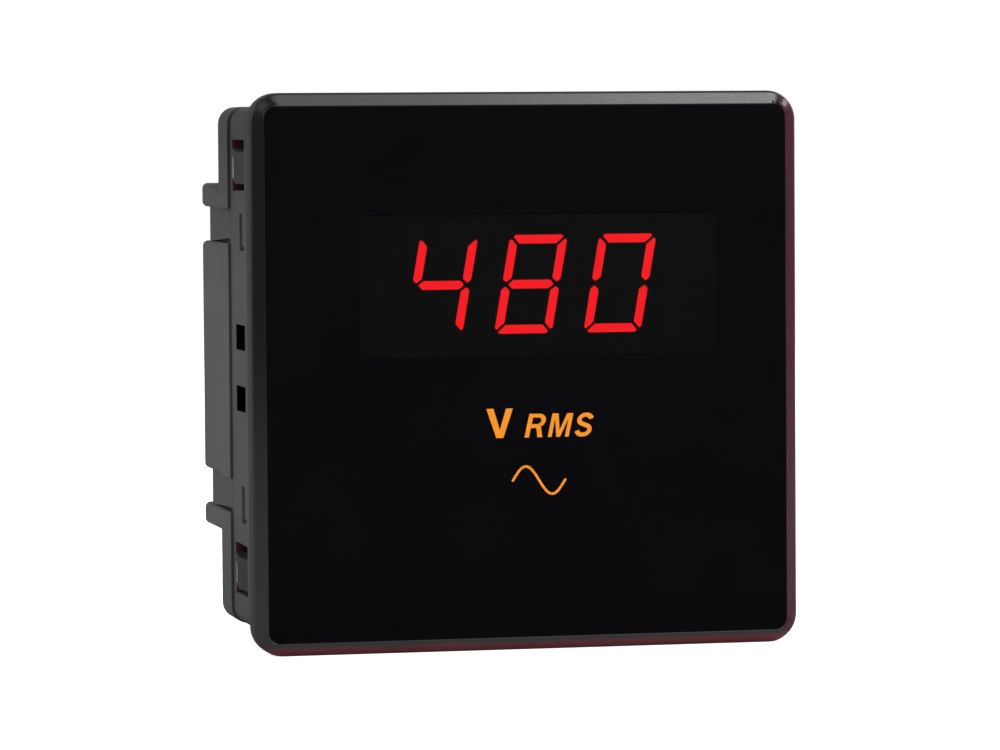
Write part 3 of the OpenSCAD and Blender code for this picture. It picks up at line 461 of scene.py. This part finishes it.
def caseFinish(face):
    # 1 in the clamp sockets, painted shade, and 2 on the hook windows' rear walls, a painted reflection of
    # the bezel's warm glow
    place = (abs(face.center.x), face.center.y, abs(face.center.z))
    inSocket, inWindow = (all(within(value, limits) for value, limits in zip(place, caseZones[zone]))
                          for zone in ("socket", "window"))
    if inSocket:
        return 1
    return 2 if inWindow and face.normal.y < -0.9 else 0


for name, width in softEdges.items():
    mesh = softenedMesh(name, width)
    mesh.materials.clear()
    # extra materials carry painted light: sheen and warm glow on the bezel, shade in hollows and sockets, and
    # a painted reflection of the glow on the case's window walls
    extras, choose = {"front_bezel": ((rimPlastic, hookPaintedSheen, paintedWarmGlowAndReflection, paintedHollowShade), bezelFinish),
                      "case_body": ((paintedHollowShade, paintedWarmGlowAndReflection), caseFinish)}.get(name, ((), None))
    for material in (finishes[slotOf[name]], *extras):
        mesh.materials.append(material)
    for face in mesh.polygons if choose else ():
        face.material_index = choose(face)
    addPiece(name + "Soft", mesh, "meter", (name,))
    print("softened", name, len(mesh.polygons), "faces")


# Lit bars with rounded tips, in the housings' recesses; only corners that run along Y are rounded
barRounding = {"radius": 0.3 * mm, "segments": 3, "along": 0.99, "bend": 0.3}
for side in ("left", "middle", "right"):
    name = "lit_bars_" + side
    work = mergedCopy(name)
    corners = [edge for edge in work.edges if edge.calc_face_angle(0.0) > barRounding["bend"]
               and abs((edge.verts[0].co - edge.verts[1].co).normalized().y) > barRounding["along"]]
    bmesh.ops.bevel(work, geom=corners, offset=barRounding["radius"], segments=barRounding["segments"],
                    profile=0.5, affect="EDGES", clamp_overlap=True)
    mesh = bpy.data.meshes.new(name + "Round")
    work.to_mesh(mesh)
    work.free()
    mesh.materials.append(finishes["lit_red"])
    addPiece(name + "Round", mesh, "meter", (name,))
print("lit bars rounded")


# Unit signs and wave on the film, in millimetres: their rectangles, and how far each leans for its height
printing = {
    "thick": 0.02,
    "V": {"x": (-7.6, -2.95), "z": (-11.3, -6.25), "lean": 0.0},
    "R": {"x": (-0.95, 2.88), "z": (-11.3, -7.25), "lean": 0.21},
    "M": {"x": (3.16, 7.73), "z": (-11.3, -7.25), "lean": 0.21},
    "S": {"x": (7.93, 11.27), "z": (-11.35, -7.2), "lean": 0.21},
    "wave": {"x": (-3.24, 6.43), "z": (-21.28, -16.07), "stroke": 0.43, "steps": 64},
}
filmFace = filmBox[0][1]


def arc(x, z, acrossRadius, upRadius, start, end, steps=14):
    turns = [math.radians(start + (end - start) * step / steps) for step in range(steps + 1)]
    return [(x + acrossRadius * math.cos(turn), z + upRadius * math.sin(turn)) for turn in turns]


def ribbon(path, half):
    # closed outline of a stroke with square ends
    upper, lower = [], []
    for index, (x, z) in enumerate(path):
        before, after = path[max(index - 1, 0)], path[min(index + 1, len(path) - 1)]
        slope = Vector((after[0] - before[0], after[1] - before[1])).normalized()
        upper.append((x - slope.y * half, z + slope.x * half))
        lower.append((x + slope.y * half, z - slope.x * half))
    return upper + lower[::-1]


# Outlines of the unit signs in a cell one high; a second outline is a counter
letterShapes = {
    "V": [[(0.0, 1.0), (0.33, 0.0), (0.57, 0.0), (0.9, 1.0), (0.67, 1.0), (0.455, 0.27), (0.24, 1.0)]],
    "R": [[(0.0, 0.0), (0.0, 1.0)] + arc(0.42, 0.71, 0.3, 0.29, 90, -60)
          + [(0.72, 0.0), (0.52, 0.0), (0.4, 0.4), (0.18, 0.4), (0.18, 0.0)],
          [(0.18, 0.56), (0.18, 0.84)] + arc(0.4, 0.7, 0.14, 0.14, 90, -90)],
    "M": [[(0.0, 0.0), (0.0, 1.0), (0.26, 1.0), (0.44, 0.28), (0.62, 1.0), (0.88, 1.0), (0.88, 0.0),
           (0.72, 0.0), (0.72, 0.78), (0.52, 0.0), (0.36, 0.0), (0.16, 0.78), (0.16, 0.0)]],
    "S": [ribbon(arc(0.34, 0.715, 0.235, 0.19, 8, 250) + arc(0.34, 0.29, 0.25, 0.195, 70, -172), 0.086)],
}


def letterMesh(outlines, settings):
    # outlines leant, set in the given rectangle of the film's face, and raised from it
    leant = [[(x + z * settings["lean"], z) for x, z in outline] for outline in outlines]
    low = [min(point[axis] for point in leant[0]) for axis in range(2)]
    high = [max(point[axis] for point in leant[0]) for axis in range(2)]
    curve = bpy.data.curves.new("letter", "CURVE")
    curve.dimensions = "2D"
    curve.fill_mode = "BOTH"
    curve.extrude = printing["thick"] * mm / 2
    for outline in leant:
        spline = curve.splines.new("POLY")
        spline.points.add(len(outline) - 1)
        spline.use_cyclic_u = True
        for point, place in zip(spline.points, outline):
            share = [(place[axis] - low[axis]) / (high[axis] - low[axis]) for axis in range(2)]
            x, z = (settings[key][0] + part * (settings[key][1] - settings[key][0])
                    for key, part in zip("xz", share))
            point.co = (x * mm, z * mm, 0.0, 1.0)
    mesh = bakedMesh(workObject("letter", curve))
    for vertex in mesh.vertices:
        x, z, rise = vertex.co
        vertex.co = (x, filmFace - printing["thick"] * mm / 2 - rise, z)
    return mesh


def waveOutline(settings):
    # one period of a sine wave, as a stroke with rounded ends
    (left, right), (low, high) = settings["x"], settings["z"]
    half, steps = settings["stroke"] / 2, settings["steps"]
    run, swing = (right - left - 2 * half) / math.tau, (high - low) / 2 - half
    turns = [math.tau * step / steps for step in range(steps + 1)]
    path = [(left + half + run * turn, (low + high) / 2 + swing * math.sin(turn)) for turn in turns]
    lean = math.degrees(math.atan2(swing, run))
    outline = ribbon(path, half)
    end = arc(*path[-1], half, half, lean + 90, lean - 90, 6)[1:-1]
    start = arc(*path[0], half, half, lean + 270, lean + 90, 6)[1:-1]
    return outline[:steps + 1] + end + outline[steps + 1:] + start


printMeshes = {"print_" + sign: letterMesh(outlines, printing[sign])
               for sign, outlines in letterShapes.items()}
waveShape = waveOutline(printing["wave"])
waveRoom = {key: (min(point[axis] for point in waveShape), max(point[axis] for point in waveShape))
            for axis, key in enumerate("xz")}
printMeshes["print_wave"] = letterMesh([waveShape], dict(waveRoom, lean=0.0))
for name, mesh in printMeshes.items():
    closeUp(mesh)
    mesh.materials.clear()
    mesh.materials.append(printOrange)
    addPiece(name, mesh, "meter")
print("print laid on the film")


def startTree(name, sizes):
    # a tree with named inputs; it puts its shape at every place it is given
    tree = bpy.data.node_groups.new(name, "GeometryNodeTree")
    tree.interface.new_socket("Geometry", in_out="OUTPUT", socket_type="NodeSocketGeometry")
    tree.interface.new_socket("Places", in_out="INPUT", socket_type="NodeSocketGeometry")
    tree.interface.new_socket("Material", in_out="INPUT", socket_type="NodeSocketMaterial")
    for label, value in sizes.items():
        kind = "NodeSocketInt" if isinstance(value, int) else "NodeSocketFloat"
        tree.interface.new_socket(label, in_out="INPUT", socket_type=kind)
    return tree, tree.nodes.new("NodeGroupInput").outputs


def finishTree(tree, entry, shape):
    turn = addNode(tree, "GeometryNodeInputNamedAttribute", {"Name": "turn"}, data_type="FLOAT_VECTOR")
    rotation = addNode(tree, "FunctionNodeEulerToRotation", {0: turn.outputs[0]})
    copies = addNode(tree, "GeometryNodeInstanceOnPoints",
                     {"Points": entry["Places"], "Instance": shape, "Rotation": rotation.outputs[0]})
    real = addNode(tree, "GeometryNodeRealizeInstances", {0: copies.outputs[0]})
    finished = addNode(tree, "GeometryNodeSetMaterial",
                       {"Geometry": real.outputs[0], "Material": entry["Material"]})
    addNode(tree, "NodeGroupOutput", {0: finished.outputs[0]})


def treeMesh(tree, sizes, material, places):
    # runs a tree on (place, turn) pairs and returns a plain mesh
    mesh = bpy.data.meshes.new(tree.name)
    mesh.from_pydata([place for place, turn in places], [], [])
    turns = mesh.attributes.new("turn", "FLOAT_VECTOR", "POINT")
    for item, (place, turn) in zip(turns.data, places):
        item.vector = turn
    piece = workObject(tree.name, mesh)
    modifier = piece.modifiers.new("make", "NODES")
    modifier.node_group = tree
    for socket in tree.interface.items_tree:
        if socket.in_out == "INPUT" and socket.name in sizes:
            modifier[socket.identifier] = sizes[socket.name]
        if socket.name == "Material":
            modifier[socket.identifier] = material
    made = bakedMesh(piece)
    closeUp(made)
    shadeSmooth(made, 40.0)
    return made


def spunShape(tree, rings, around, radiusOf, heightOf):
    # a grid rolled round the Y axis; radius and height follow each ring's share of the way down
    grid = addNode(tree, "GeometryNodeMeshGrid", {"Size X": 1.0, "Size Y": 1.0, "Vertices X": around + 1,
                                                  "Vertices Y": rings})
    position = tree.nodes.new("GeometryNodeInputPosition").outputs[0]
    place = addNode(tree, "ShaderNodeSeparateXYZ", {0: position})
    lap = calc(tree, "ADD", place.outputs["X"], 0.5)
    share = calc(tree, "ADD", place.outputs["Y"], 0.5)
    angle = calc(tree, "MULTIPLY", lap, math.tau)
    radius = radiusOf(share, lap)
    rolled = addNode(tree, "ShaderNodeCombineXYZ",
                     {"X": calc(tree, "MULTIPLY", radius, calc(tree, "COSINE", angle)), "Y": heightOf(share),
                      "Z": calc(tree, "MULTIPLY", radius, calc(tree, "SINE", angle))})
    moved = addNode(tree, "GeometryNodeSetPosition", {"Geometry": grid.outputs["Mesh"],
                                                      "Position": rolled.outputs[0]})
    return addNode(tree, "GeometryNodeMergeByDistance", {"Geometry": moved.outputs[0],
                                                         "Distance": 1e-7}).outputs[0]


def blockShape(tree, x, y, z, place):
    size = addNode(tree, "ShaderNodeCombineXYZ", {"X": x, "Y": y, "Z": z})
    cube = addNode(tree, "GeometryNodeMeshCube", {"Size": size.outputs[0]})
    spot = addNode(tree, "ShaderNodeCombineXYZ", dict(enumerate(place)))
    return addNode(tree, "GeometryNodeTransform", {"Geometry": cube.outputs["Mesh"],
                                                   "Translation": spot.outputs[0]}).outputs[0]


terminalScrew = {"Radius": 1.95 * mm, "Thread depth": 0.38 * mm, "Pitch": 0.7 * mm, "Length": 6.0 * mm,
                 "Head radius": 3.3 * mm, "Head height": 2.7 * mm, "Slot": 1.1 * mm, "Slot depth": 1.5 * mm,
                 "Rings": 60}
boardScrew = {"Radius": 1.42 * mm, "Thread depth": 0.3 * mm, "Pitch": 1.06 * mm, "Length": 8.0 * mm,
              "Head radius": 2.8 * mm, "Head height": 2.0 * mm, "Slot": 0.7 * mm, "Slot depth": 1.2 * mm,
              "Rings": 60}


# Facets of the turned shapes, and shares of their height where the point, the runout and the head's rim lie
turned = {"shank around": 28, "head around": 40, "head rings": 26, "point": 8.0, "runout": 60.0, "rim": 0.88,
          "overlap": 0.3 * mm}


def makeScrewTree():
    tree, entry = startTree("machineScrew", terminalScrew)

    def shankRadius(share, lap):
        turns = calc(tree, "DIVIDE", calc(tree, "MULTIPLY", share, entry["Length"]), entry["Pitch"])
        groove = calc(tree, "PINGPONG", calc(tree, "ADD", turns, lap), 0.5)
        cut = calc(tree, "MULTIPLY", calc(tree, "MULTIPLY", groove, 2.0), entry["Thread depth"])
        left = calc(tree, "SUBTRACT", 1.0, share)
        point = calc(tree, "MINIMUM", calc(tree, "MULTIPLY", left, turned["point"]), 1.0)
        start = calc(tree, "MINIMUM", calc(tree, "MULTIPLY", share, turned["runout"]), 1.0)
        return calc(tree, "MULTIPLY", calc(tree, "SUBTRACT", entry["Radius"], cut),
                    calc(tree, "MULTIPLY", calc(tree, "SQRT", point), start))

    def shankHeight(share):
        whole = calc(tree, "ADD", entry["Length"], turned["overlap"])
        return calc(tree, "SUBTRACT", turned["overlap"], calc(tree, "MULTIPLY", share, whole))

    def headCurve(share, operation):
        dome = calc(tree, "MINIMUM", calc(tree, "DIVIDE", share, turned["rim"]), 1.0)
        wave = calc(tree, operation, calc(tree, "MULTIPLY", dome, math.pi / 2))
        return calc(tree, "POWER", calc(tree, "MAXIMUM", wave, 0.0), 0.5)

    def headRadius(share, lap):
        left = calc(tree, "SUBTRACT", 1.0, share)
        under = calc(tree, "MINIMUM", calc(tree, "DIVIDE", left, 1.0 - turned["rim"]), 1.0)
        return calc(tree, "MULTIPLY", calc(tree, "MULTIPLY", headCurve(share, "SINE"), under),
                    entry["Head radius"])

    def headHeight(share):
        return calc(tree, "MULTIPLY", headCurve(share, "COSINE"), entry["Head height"])

    shank = spunShape(tree, entry["Rings"], turned["shank around"], shankRadius, shankHeight)
    head = spunShape(tree, turned["head rings"], turned["head around"], headRadius, headHeight)
    reach = calc(tree, "MULTIPLY", entry["Head radius"], 1.25)
    deep = calc(tree, "MULTIPLY", entry["Slot depth"], 2.0)
    spot = (0.0, entry["Head height"], 0.0)
    cross = addNode(tree, "GeometryNodeMeshBoolean", {"Mesh 1": head}, operation="DIFFERENCE")
    for across, along in ((reach, entry["Slot"]), (entry["Slot"], reach)):
        tree.links.new(blockShape(tree, across, deep, along, spot), cross.inputs["Mesh 2"])
    joined = tree.nodes.new("GeometryNodeJoinGeometry")
    for part in (shank, cross.outputs["Mesh"]):
        tree.links.new(part, joined.inputs[0])
    finishTree(tree, entry, joined.outputs[0])
    return tree


screwTree = makeScrewTree()
screwAngles = (0.35, 1.1, 0.8, 0.15)   # how far round each terminal screw has come to rest
for number in range(1, 5):
    name = f"terminal_screw_{number}"
    low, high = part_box(name)
    seat = ((low[0] + high[0]) / 2, high[1] - terminalScrew["Head height"], (low[2] + high[2]) / 2)
    mesh = treeMesh(screwTree, terminalScrew, finishes["terminal_screw_steel"],
                    [(seat, (0.0, screwAngles[number - 1], 0.0))])
    addPiece(f"terminalScrew{number}", mesh, f"screw_{number}", (name,))

for name, flipped in (("display_screws", 0.0), ("main_screws", math.pi)):
    low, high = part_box(name)
    radius, height = boardScrew["Head radius"], boardScrew["Head height"]
    seatY = low[1] + height if flipped else high[1] - height
    corners = [((x, seatY, z), (flipped, 0.0, 0.0)) for x in (low[0] + radius, high[0] - radius)
               for z in (low[2] + radius, high[2] - radius)]
    sizes = dict(boardScrew, Length=(high[1] - low[1]) - height)
    addPiece(name + "Threaded", treeMesh(screwTree, sizes, finishes["zinc_screw"], corners), "meter",
             (name,))
print("screws made")


solder = {"Pin radius": 0.3 * mm, "Pad radius": 0.85 * mm, "Height": 0.9 * mm}
solderForm = {"flare": 2.4, "closing": 20.0, "rings": 12, "around": 14}


def makeSolderTree():
    tree, entry = startTree("solderJoint", solder)

    def radiusOf(share, lap):
        flare = calc(tree, "MULTIPLY", calc(tree, "SUBTRACT", entry["Pad radius"], entry["Pin radius"]),
                     calc(tree, "POWER", share, solderForm["flare"]))
        top, foot = (calc(tree, "MULTIPLY", part, solderForm["closing"])
                     for part in (share, calc(tree, "SUBTRACT", 1.0, share)))
        ends = calc(tree, "MINIMUM", calc(tree, "MINIMUM", top, foot), 1.0)
        return calc(tree, "MULTIPLY", calc(tree, "ADD", entry["Pin radius"], flare), ends)

    def heightOf(share):
        return calc(tree, "MULTIPLY", calc(tree, "SUBTRACT", 1.0, share), entry["Height"])

    finishTree(tree, entry, spunShape(tree, solderForm["rings"], solderForm["around"], radiusOf, heightOf))
    return tree


solderTree = makeSolderTree()
displayBox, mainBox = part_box("display_board"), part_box("main_board")
forwards = (math.pi, 0.0, 0.0)
pinBox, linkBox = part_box("digit_pins"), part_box("link_pins")
legPitch, digitPinRadius, linkPinRadius, tailHalf = 2.54 * mm, 0.25 * mm, 0.32 * mm, 0.4 * mm
digitRows = (pinBox[0][2] + digitPinRadius, pinBox[1][2] - digitPinRadius)
digitMiddles = [(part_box("digit_" + side)[0][0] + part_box("digit_" + side)[1][0]) / 2
                for side in ("left", "middle", "right")]
linkX = (linkBox[0][0] + linkBox[1][0]) / 2
linkRows = [linkBox[0][2] + linkPinRadius + step * legPitch for step in range(8)]
tails = [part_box(f"terminal_contact_{number}") for number in range(1, 5)]
joints = [((middle + step * legPitch, displayBox[1][1], z), (0.0, 0.0, 0.0))
          for middle in digitMiddles for step in range(-2, 3) for z in digitRows]
joints += [((linkX, displayBox[0][1], z), forwards) for z in linkRows]
joints += [((linkX, mainBox[1][1], z), (0.0, 0.0, 0.0)) for z in linkRows]
joints += [(((low[0] + high[0]) / 2, mainBox[0][1], low[2] + tailHalf), forwards) for low, high in tails]
addPiece("solderJoints", treeMesh(solderTree, solder, finishes["tinned_leg"], joints), "meter")
print("solder joints made:", len(joints))


core = {"Width": 32.0 * mm, "Height": 27.0 * mm, "Leg": 5.4 * mm, "Plate": 0.42 * mm}
platePitch, plateCount = 0.5 * mm, 24


def makePlateTree():
    tree, entry = startTree("corePlate", core)

    def quad(width, height, x):
        curve = addNode(tree, "GeometryNodeCurvePrimitiveQuadrilateral", {"Width": width, "Height": height})
        spot = addNode(tree, "ShaderNodeCombineXYZ", {"X": x})
        return addNode(tree, "GeometryNodeTransform", {"Geometry": curve.outputs[0],
                                                       "Translation": spot.outputs[0]}).outputs[0]

    windowWidth = calc(tree, "SUBTRACT", calc(tree, "DIVIDE", entry["Width"], 2.0),
                       calc(tree, "MULTIPLY", entry["Leg"], 2.0))
    windowHeight = calc(tree, "SUBTRACT", entry["Height"], calc(tree, "MULTIPLY", entry["Leg"], 2.0))
    middle = calc(tree, "ADD", entry["Leg"], calc(tree, "DIVIDE", windowWidth, 2.0))
    outline = tree.nodes.new("GeometryNodeJoinGeometry")
    for part in (quad(entry["Width"], entry["Height"], 0.0), quad(windowWidth, windowHeight, middle),
                 quad(windowWidth, windowHeight, calc(tree, "MULTIPLY", middle, -1.0))):
        tree.links.new(part, outline.inputs[0])
    sheet = addNode(tree, "GeometryNodeFillCurve", {0: outline.outputs[0]})
    plate = addNode(tree, "GeometryNodeExtrudeMesh",
                    {"Mesh": sheet.outputs[0], "Offset Scale": entry["Plate"], "Individual": False})
    base = addNode(tree, "GeometryNodeFlipFaces", {0: sheet.outputs[0]})
    closed = tree.nodes.new("GeometryNodeJoinGeometry")
    for part in (plate.outputs["Mesh"], base.outputs[0]):
        tree.links.new(part, closed.inputs[0])
    merged = addNode(tree, "GeometryNodeMergeByDistance", {"Geometry": closed.outputs[0], "Distance": 1e-7})
    finishTree(tree, entry, merged.outputs[0])
    return tree


low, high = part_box("transformer_core")
coreMiddle = [(low[axis] + high[axis]) / 2 for axis in range(3)]
stack = [((coreMiddle[0], coreMiddle[1] + (step - plateCount / 2 + 1) * platePitch, coreMiddle[2]),
          (math.pi / 2, 0.0, 0.0)) for step in range(plateCount)]
addPiece("corePlates", treeMesh(makePlateTree(), core, finishes["core_iron"], stack), "meter",
         ("transformer_core",))
print("core plates stacked:", plateCount)


# The chip's body in millimetres, and its legs
chip = {"side": 10.0, "bottom": 0.1, "top": 1.6, "draft": 0.25, "border": 0.8, "legs": 11, "pitch": 0.8,
        "leg root": 0.1, "leg foot": 0.08}
chipLeg = {"Reach": 1.1 * mm, "Drop": 0.75 * mm, "Width": 0.32 * mm, "Thick": 0.16 * mm}


def makeLegTree():
    tree, entry = startTree("chipLeg", chipLeg)

    def spot(x, y):
        return addNode(tree, "ShaderNodeCombineXYZ", {"X": x, "Y": y}).outputs[0]

    middle = calc(tree, "MULTIPLY", entry["Reach"], 0.5)
    bend = addNode(tree, "GeometryNodeCurvePrimitiveBezierSegment",
                   {"Resolution": 8, "Start": spot(0.0, entry["Drop"]),
                    "Start Handle": spot(middle, entry["Drop"]), "End Handle": spot(middle, 0.0),
                    "End": spot(entry["Reach"], 0.0)})
    profile = addNode(tree, "GeometryNodeCurvePrimitiveQuadrilateral",
                      {"Width": entry["Thick"], "Height": entry["Width"]})
    leg = addNode(tree, "GeometryNodeCurveToMesh",
                  {"Curve": bend.outputs[0], "Profile Curve": profile.outputs[0], "Fill Caps": True})
    finishTree(tree, entry, leg.outputs[0])
    return tree


def chipBody(middle, floorY):
    rings = [(chip["bottom"], chip["draft"]), ((chip["bottom"] + chip["top"]) / 2, 0.0),
             (chip["top"], chip["draft"])]
    work = bmesh.new()
    loops = []
    for height, inset in rings:
        half = (chip["side"] / 2 - inset) * mm
        loops.append([work.verts.new((middle[0] + x * half, floorY + height * mm, middle[2] + z * half))
                      for x, z in ((-1, -1), (1, -1), (1, 1), (-1, 1))])
    for lower, upper in zip(loops, loops[1:]):
        for index in range(4):
            after = (index + 1) % 4
            work.faces.new((lower[index], lower[after], upper[after], upper[index]))
    work.faces.new(loops[0][::-1])
    top = work.faces.new(loops[-1])
    # the top face's raised border
    bmesh.ops.inset_individual(work, faces=[top], thickness=chip["border"] * mm)
    bmesh.ops.recalc_face_normals(work, faces=work.faces)
    mesh = bpy.data.meshes.new("chipBody")
    work.to_mesh(mesh)
    work.free()
    mesh.materials.append(finishes["chip_black"])
    return mesh


low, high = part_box("microcontroller")
chipMiddle = [(low[axis] + high[axis]) / 2 for axis in range(3)]
legPlaces = []
for side in range(4):
    angle = side * math.pi / 2
    out = (chip["side"] / 2 - chip["leg root"]) * mm
    for step in range(chip["legs"]):
        along = (step - (chip["legs"] - 1) / 2) * chip["pitch"] * mm
        x = out * math.cos(angle) + along * math.sin(angle)
        z = -out * math.sin(angle) + along * math.cos(angle)
        foot = (chipMiddle[0] + x, low[1] + chip["leg foot"] * mm, chipMiddle[2] + z)
        legPlaces.append((foot, (0.0, angle, 0.0)))
addPiece("chipBody", chipBody(chipMiddle, low[1]), "meter", ("microcontroller",))
legMesh = treeMesh(makeLegTree(), chipLeg, finishes["tinned_leg"], legPlaces)
addPiece("chipLegs", legMesh, "meter")
print("chip made with", len(legPlaces), "legs")


stageSettings = {"floorZ": -48.0 * mm, "floorSize": 6.0, "floorColour": 0.8, "cameraGlow": 0.76,
                 "worldLight": 0.34}


def makeStage(settings):
    mesh = bpy.data.meshes.new("floor")
    half = settings["floorSize"] / 2
    z = settings["floorZ"]
    corners = [(-half, -half, z), (half, -half, z), (half, half, z), (-half, half, z)]
    mesh.from_pydata(corners, [], [(0, 1, 2, 3)])
    floor = bpy.data.objects.new("floor", mesh)
    bpy.context.scene.collection.objects.link(floor)
    pale = (settings["floorColour"],) * 3
    material, tree, shader = startMaterial("floorPale", Base_Color=pale, Roughness=0.9,
                                           Specular_IOR_Level=0.0, Emission_Color=white)
    seen = tree.nodes.new("ShaderNodeLightPath").outputs["Is Camera Ray"]
    glow = remap(tree, seen, 0.0, 1.0, 0.0, settings["cameraGlow"])
    tree.links.new(glow, shader.inputs["Emission Strength"])
    mesh.materials.append(material)

    world = bpy.data.worlds.new("studio")
    bpy.context.scene.world = world
    world.use_nodes = True
    tree = world.node_tree
    background = tree.nodes["Background"]
    path = tree.nodes.new("ShaderNodeLightPath")
    total = path.outputs["Is Camera Ray"]
    for name in ("Is Glossy Ray", "Is Transmission Ray"):
        total = calc(tree, "MAXIMUM", total, path.outputs[name])
    background.inputs["Color"].default_value = (*white, 1.0)
    strength = remap(tree, total, 0.0, 1.0, settings["worldLight"], 1.0)
    tree.links.new(strength, background.inputs["Strength"])


def softBox(name, place, aim, size, power):
    light = bpy.data.lights.new(name, "AREA")
    light.shape = "RECTANGLE"
    light.size, light.size_y = size
    light.energy = power
    lamp = bpy.data.objects.new(name, light)
    lamp.location = place
    lamp.rotation_euler = (Vector(aim) - Vector(place)).to_track_quat("-Z", "Y").to_euler()
    bpy.context.scene.collection.objects.link(lamp)


makeStage(stageSettings)
lamps = {
    "topWide": {"place": (0.2, -0.22, 0.72), "aim": (0.2, 0.0, 0.04), "size": (0.6, 0.22), "power": 2.9},
    "topRight": {"place": (0.335, -0.21, 0.715), "aim": (0.335, 0.0, 0.04),
                 "size": (0.33, 0.22), "power": 4.3},
    "cornerBox": {"place": (-0.5, -0.4, 0.62), "aim": (0, 0, 0.04), "size": (0.4, 0.4), "power": 1.5},
    "glintBox": {"place": (0.72, -0.12, 0.49), "aim": (0.045, 0, 0.045), "size": (0.1, 0.1), "power": 1.8},
    "leftBox": {"place": (-0.9, 0.3, 0.35), "aim": (0, 0.02, 0), "size": (1.1, 0.7), "power": 4.8},
    "frontBox": {"place": (0.3, -1.1, 0.3), "aim": (0, 0, 0), "size": (0.4, 0.4), "power": 6.0},
    "rearBox": {"place": (0.5, 0.9, 0.35), "aim": (0, 0.04, 0), "size": (0.5, 0.5), "power": 4.0},
}
for name, settings in lamps.items():
    softBox(name, **settings)

cameraSettings = {"place": (-0.18378, -0.81262, 0.04116), "turn": (87.116, 0.399, -12.502), "lens": 173.8}
cameraData = bpy.data.cameras.new("camera")
cameraData.lens = cameraSettings["lens"]
cameraData.sensor_width = 36.0
camera = bpy.data.objects.new("camera", cameraData)
camera.location = cameraSettings["place"]
camera.rotation_euler = [math.radians(angle) for angle in cameraSettings["turn"]]
bpy.context.scene.collection.objects.link(camera)
bpy.context.scene.camera = camera
bpy.context.scene.view_settings.view_transform = "Standard"
print("stage, lamps and camera ready")
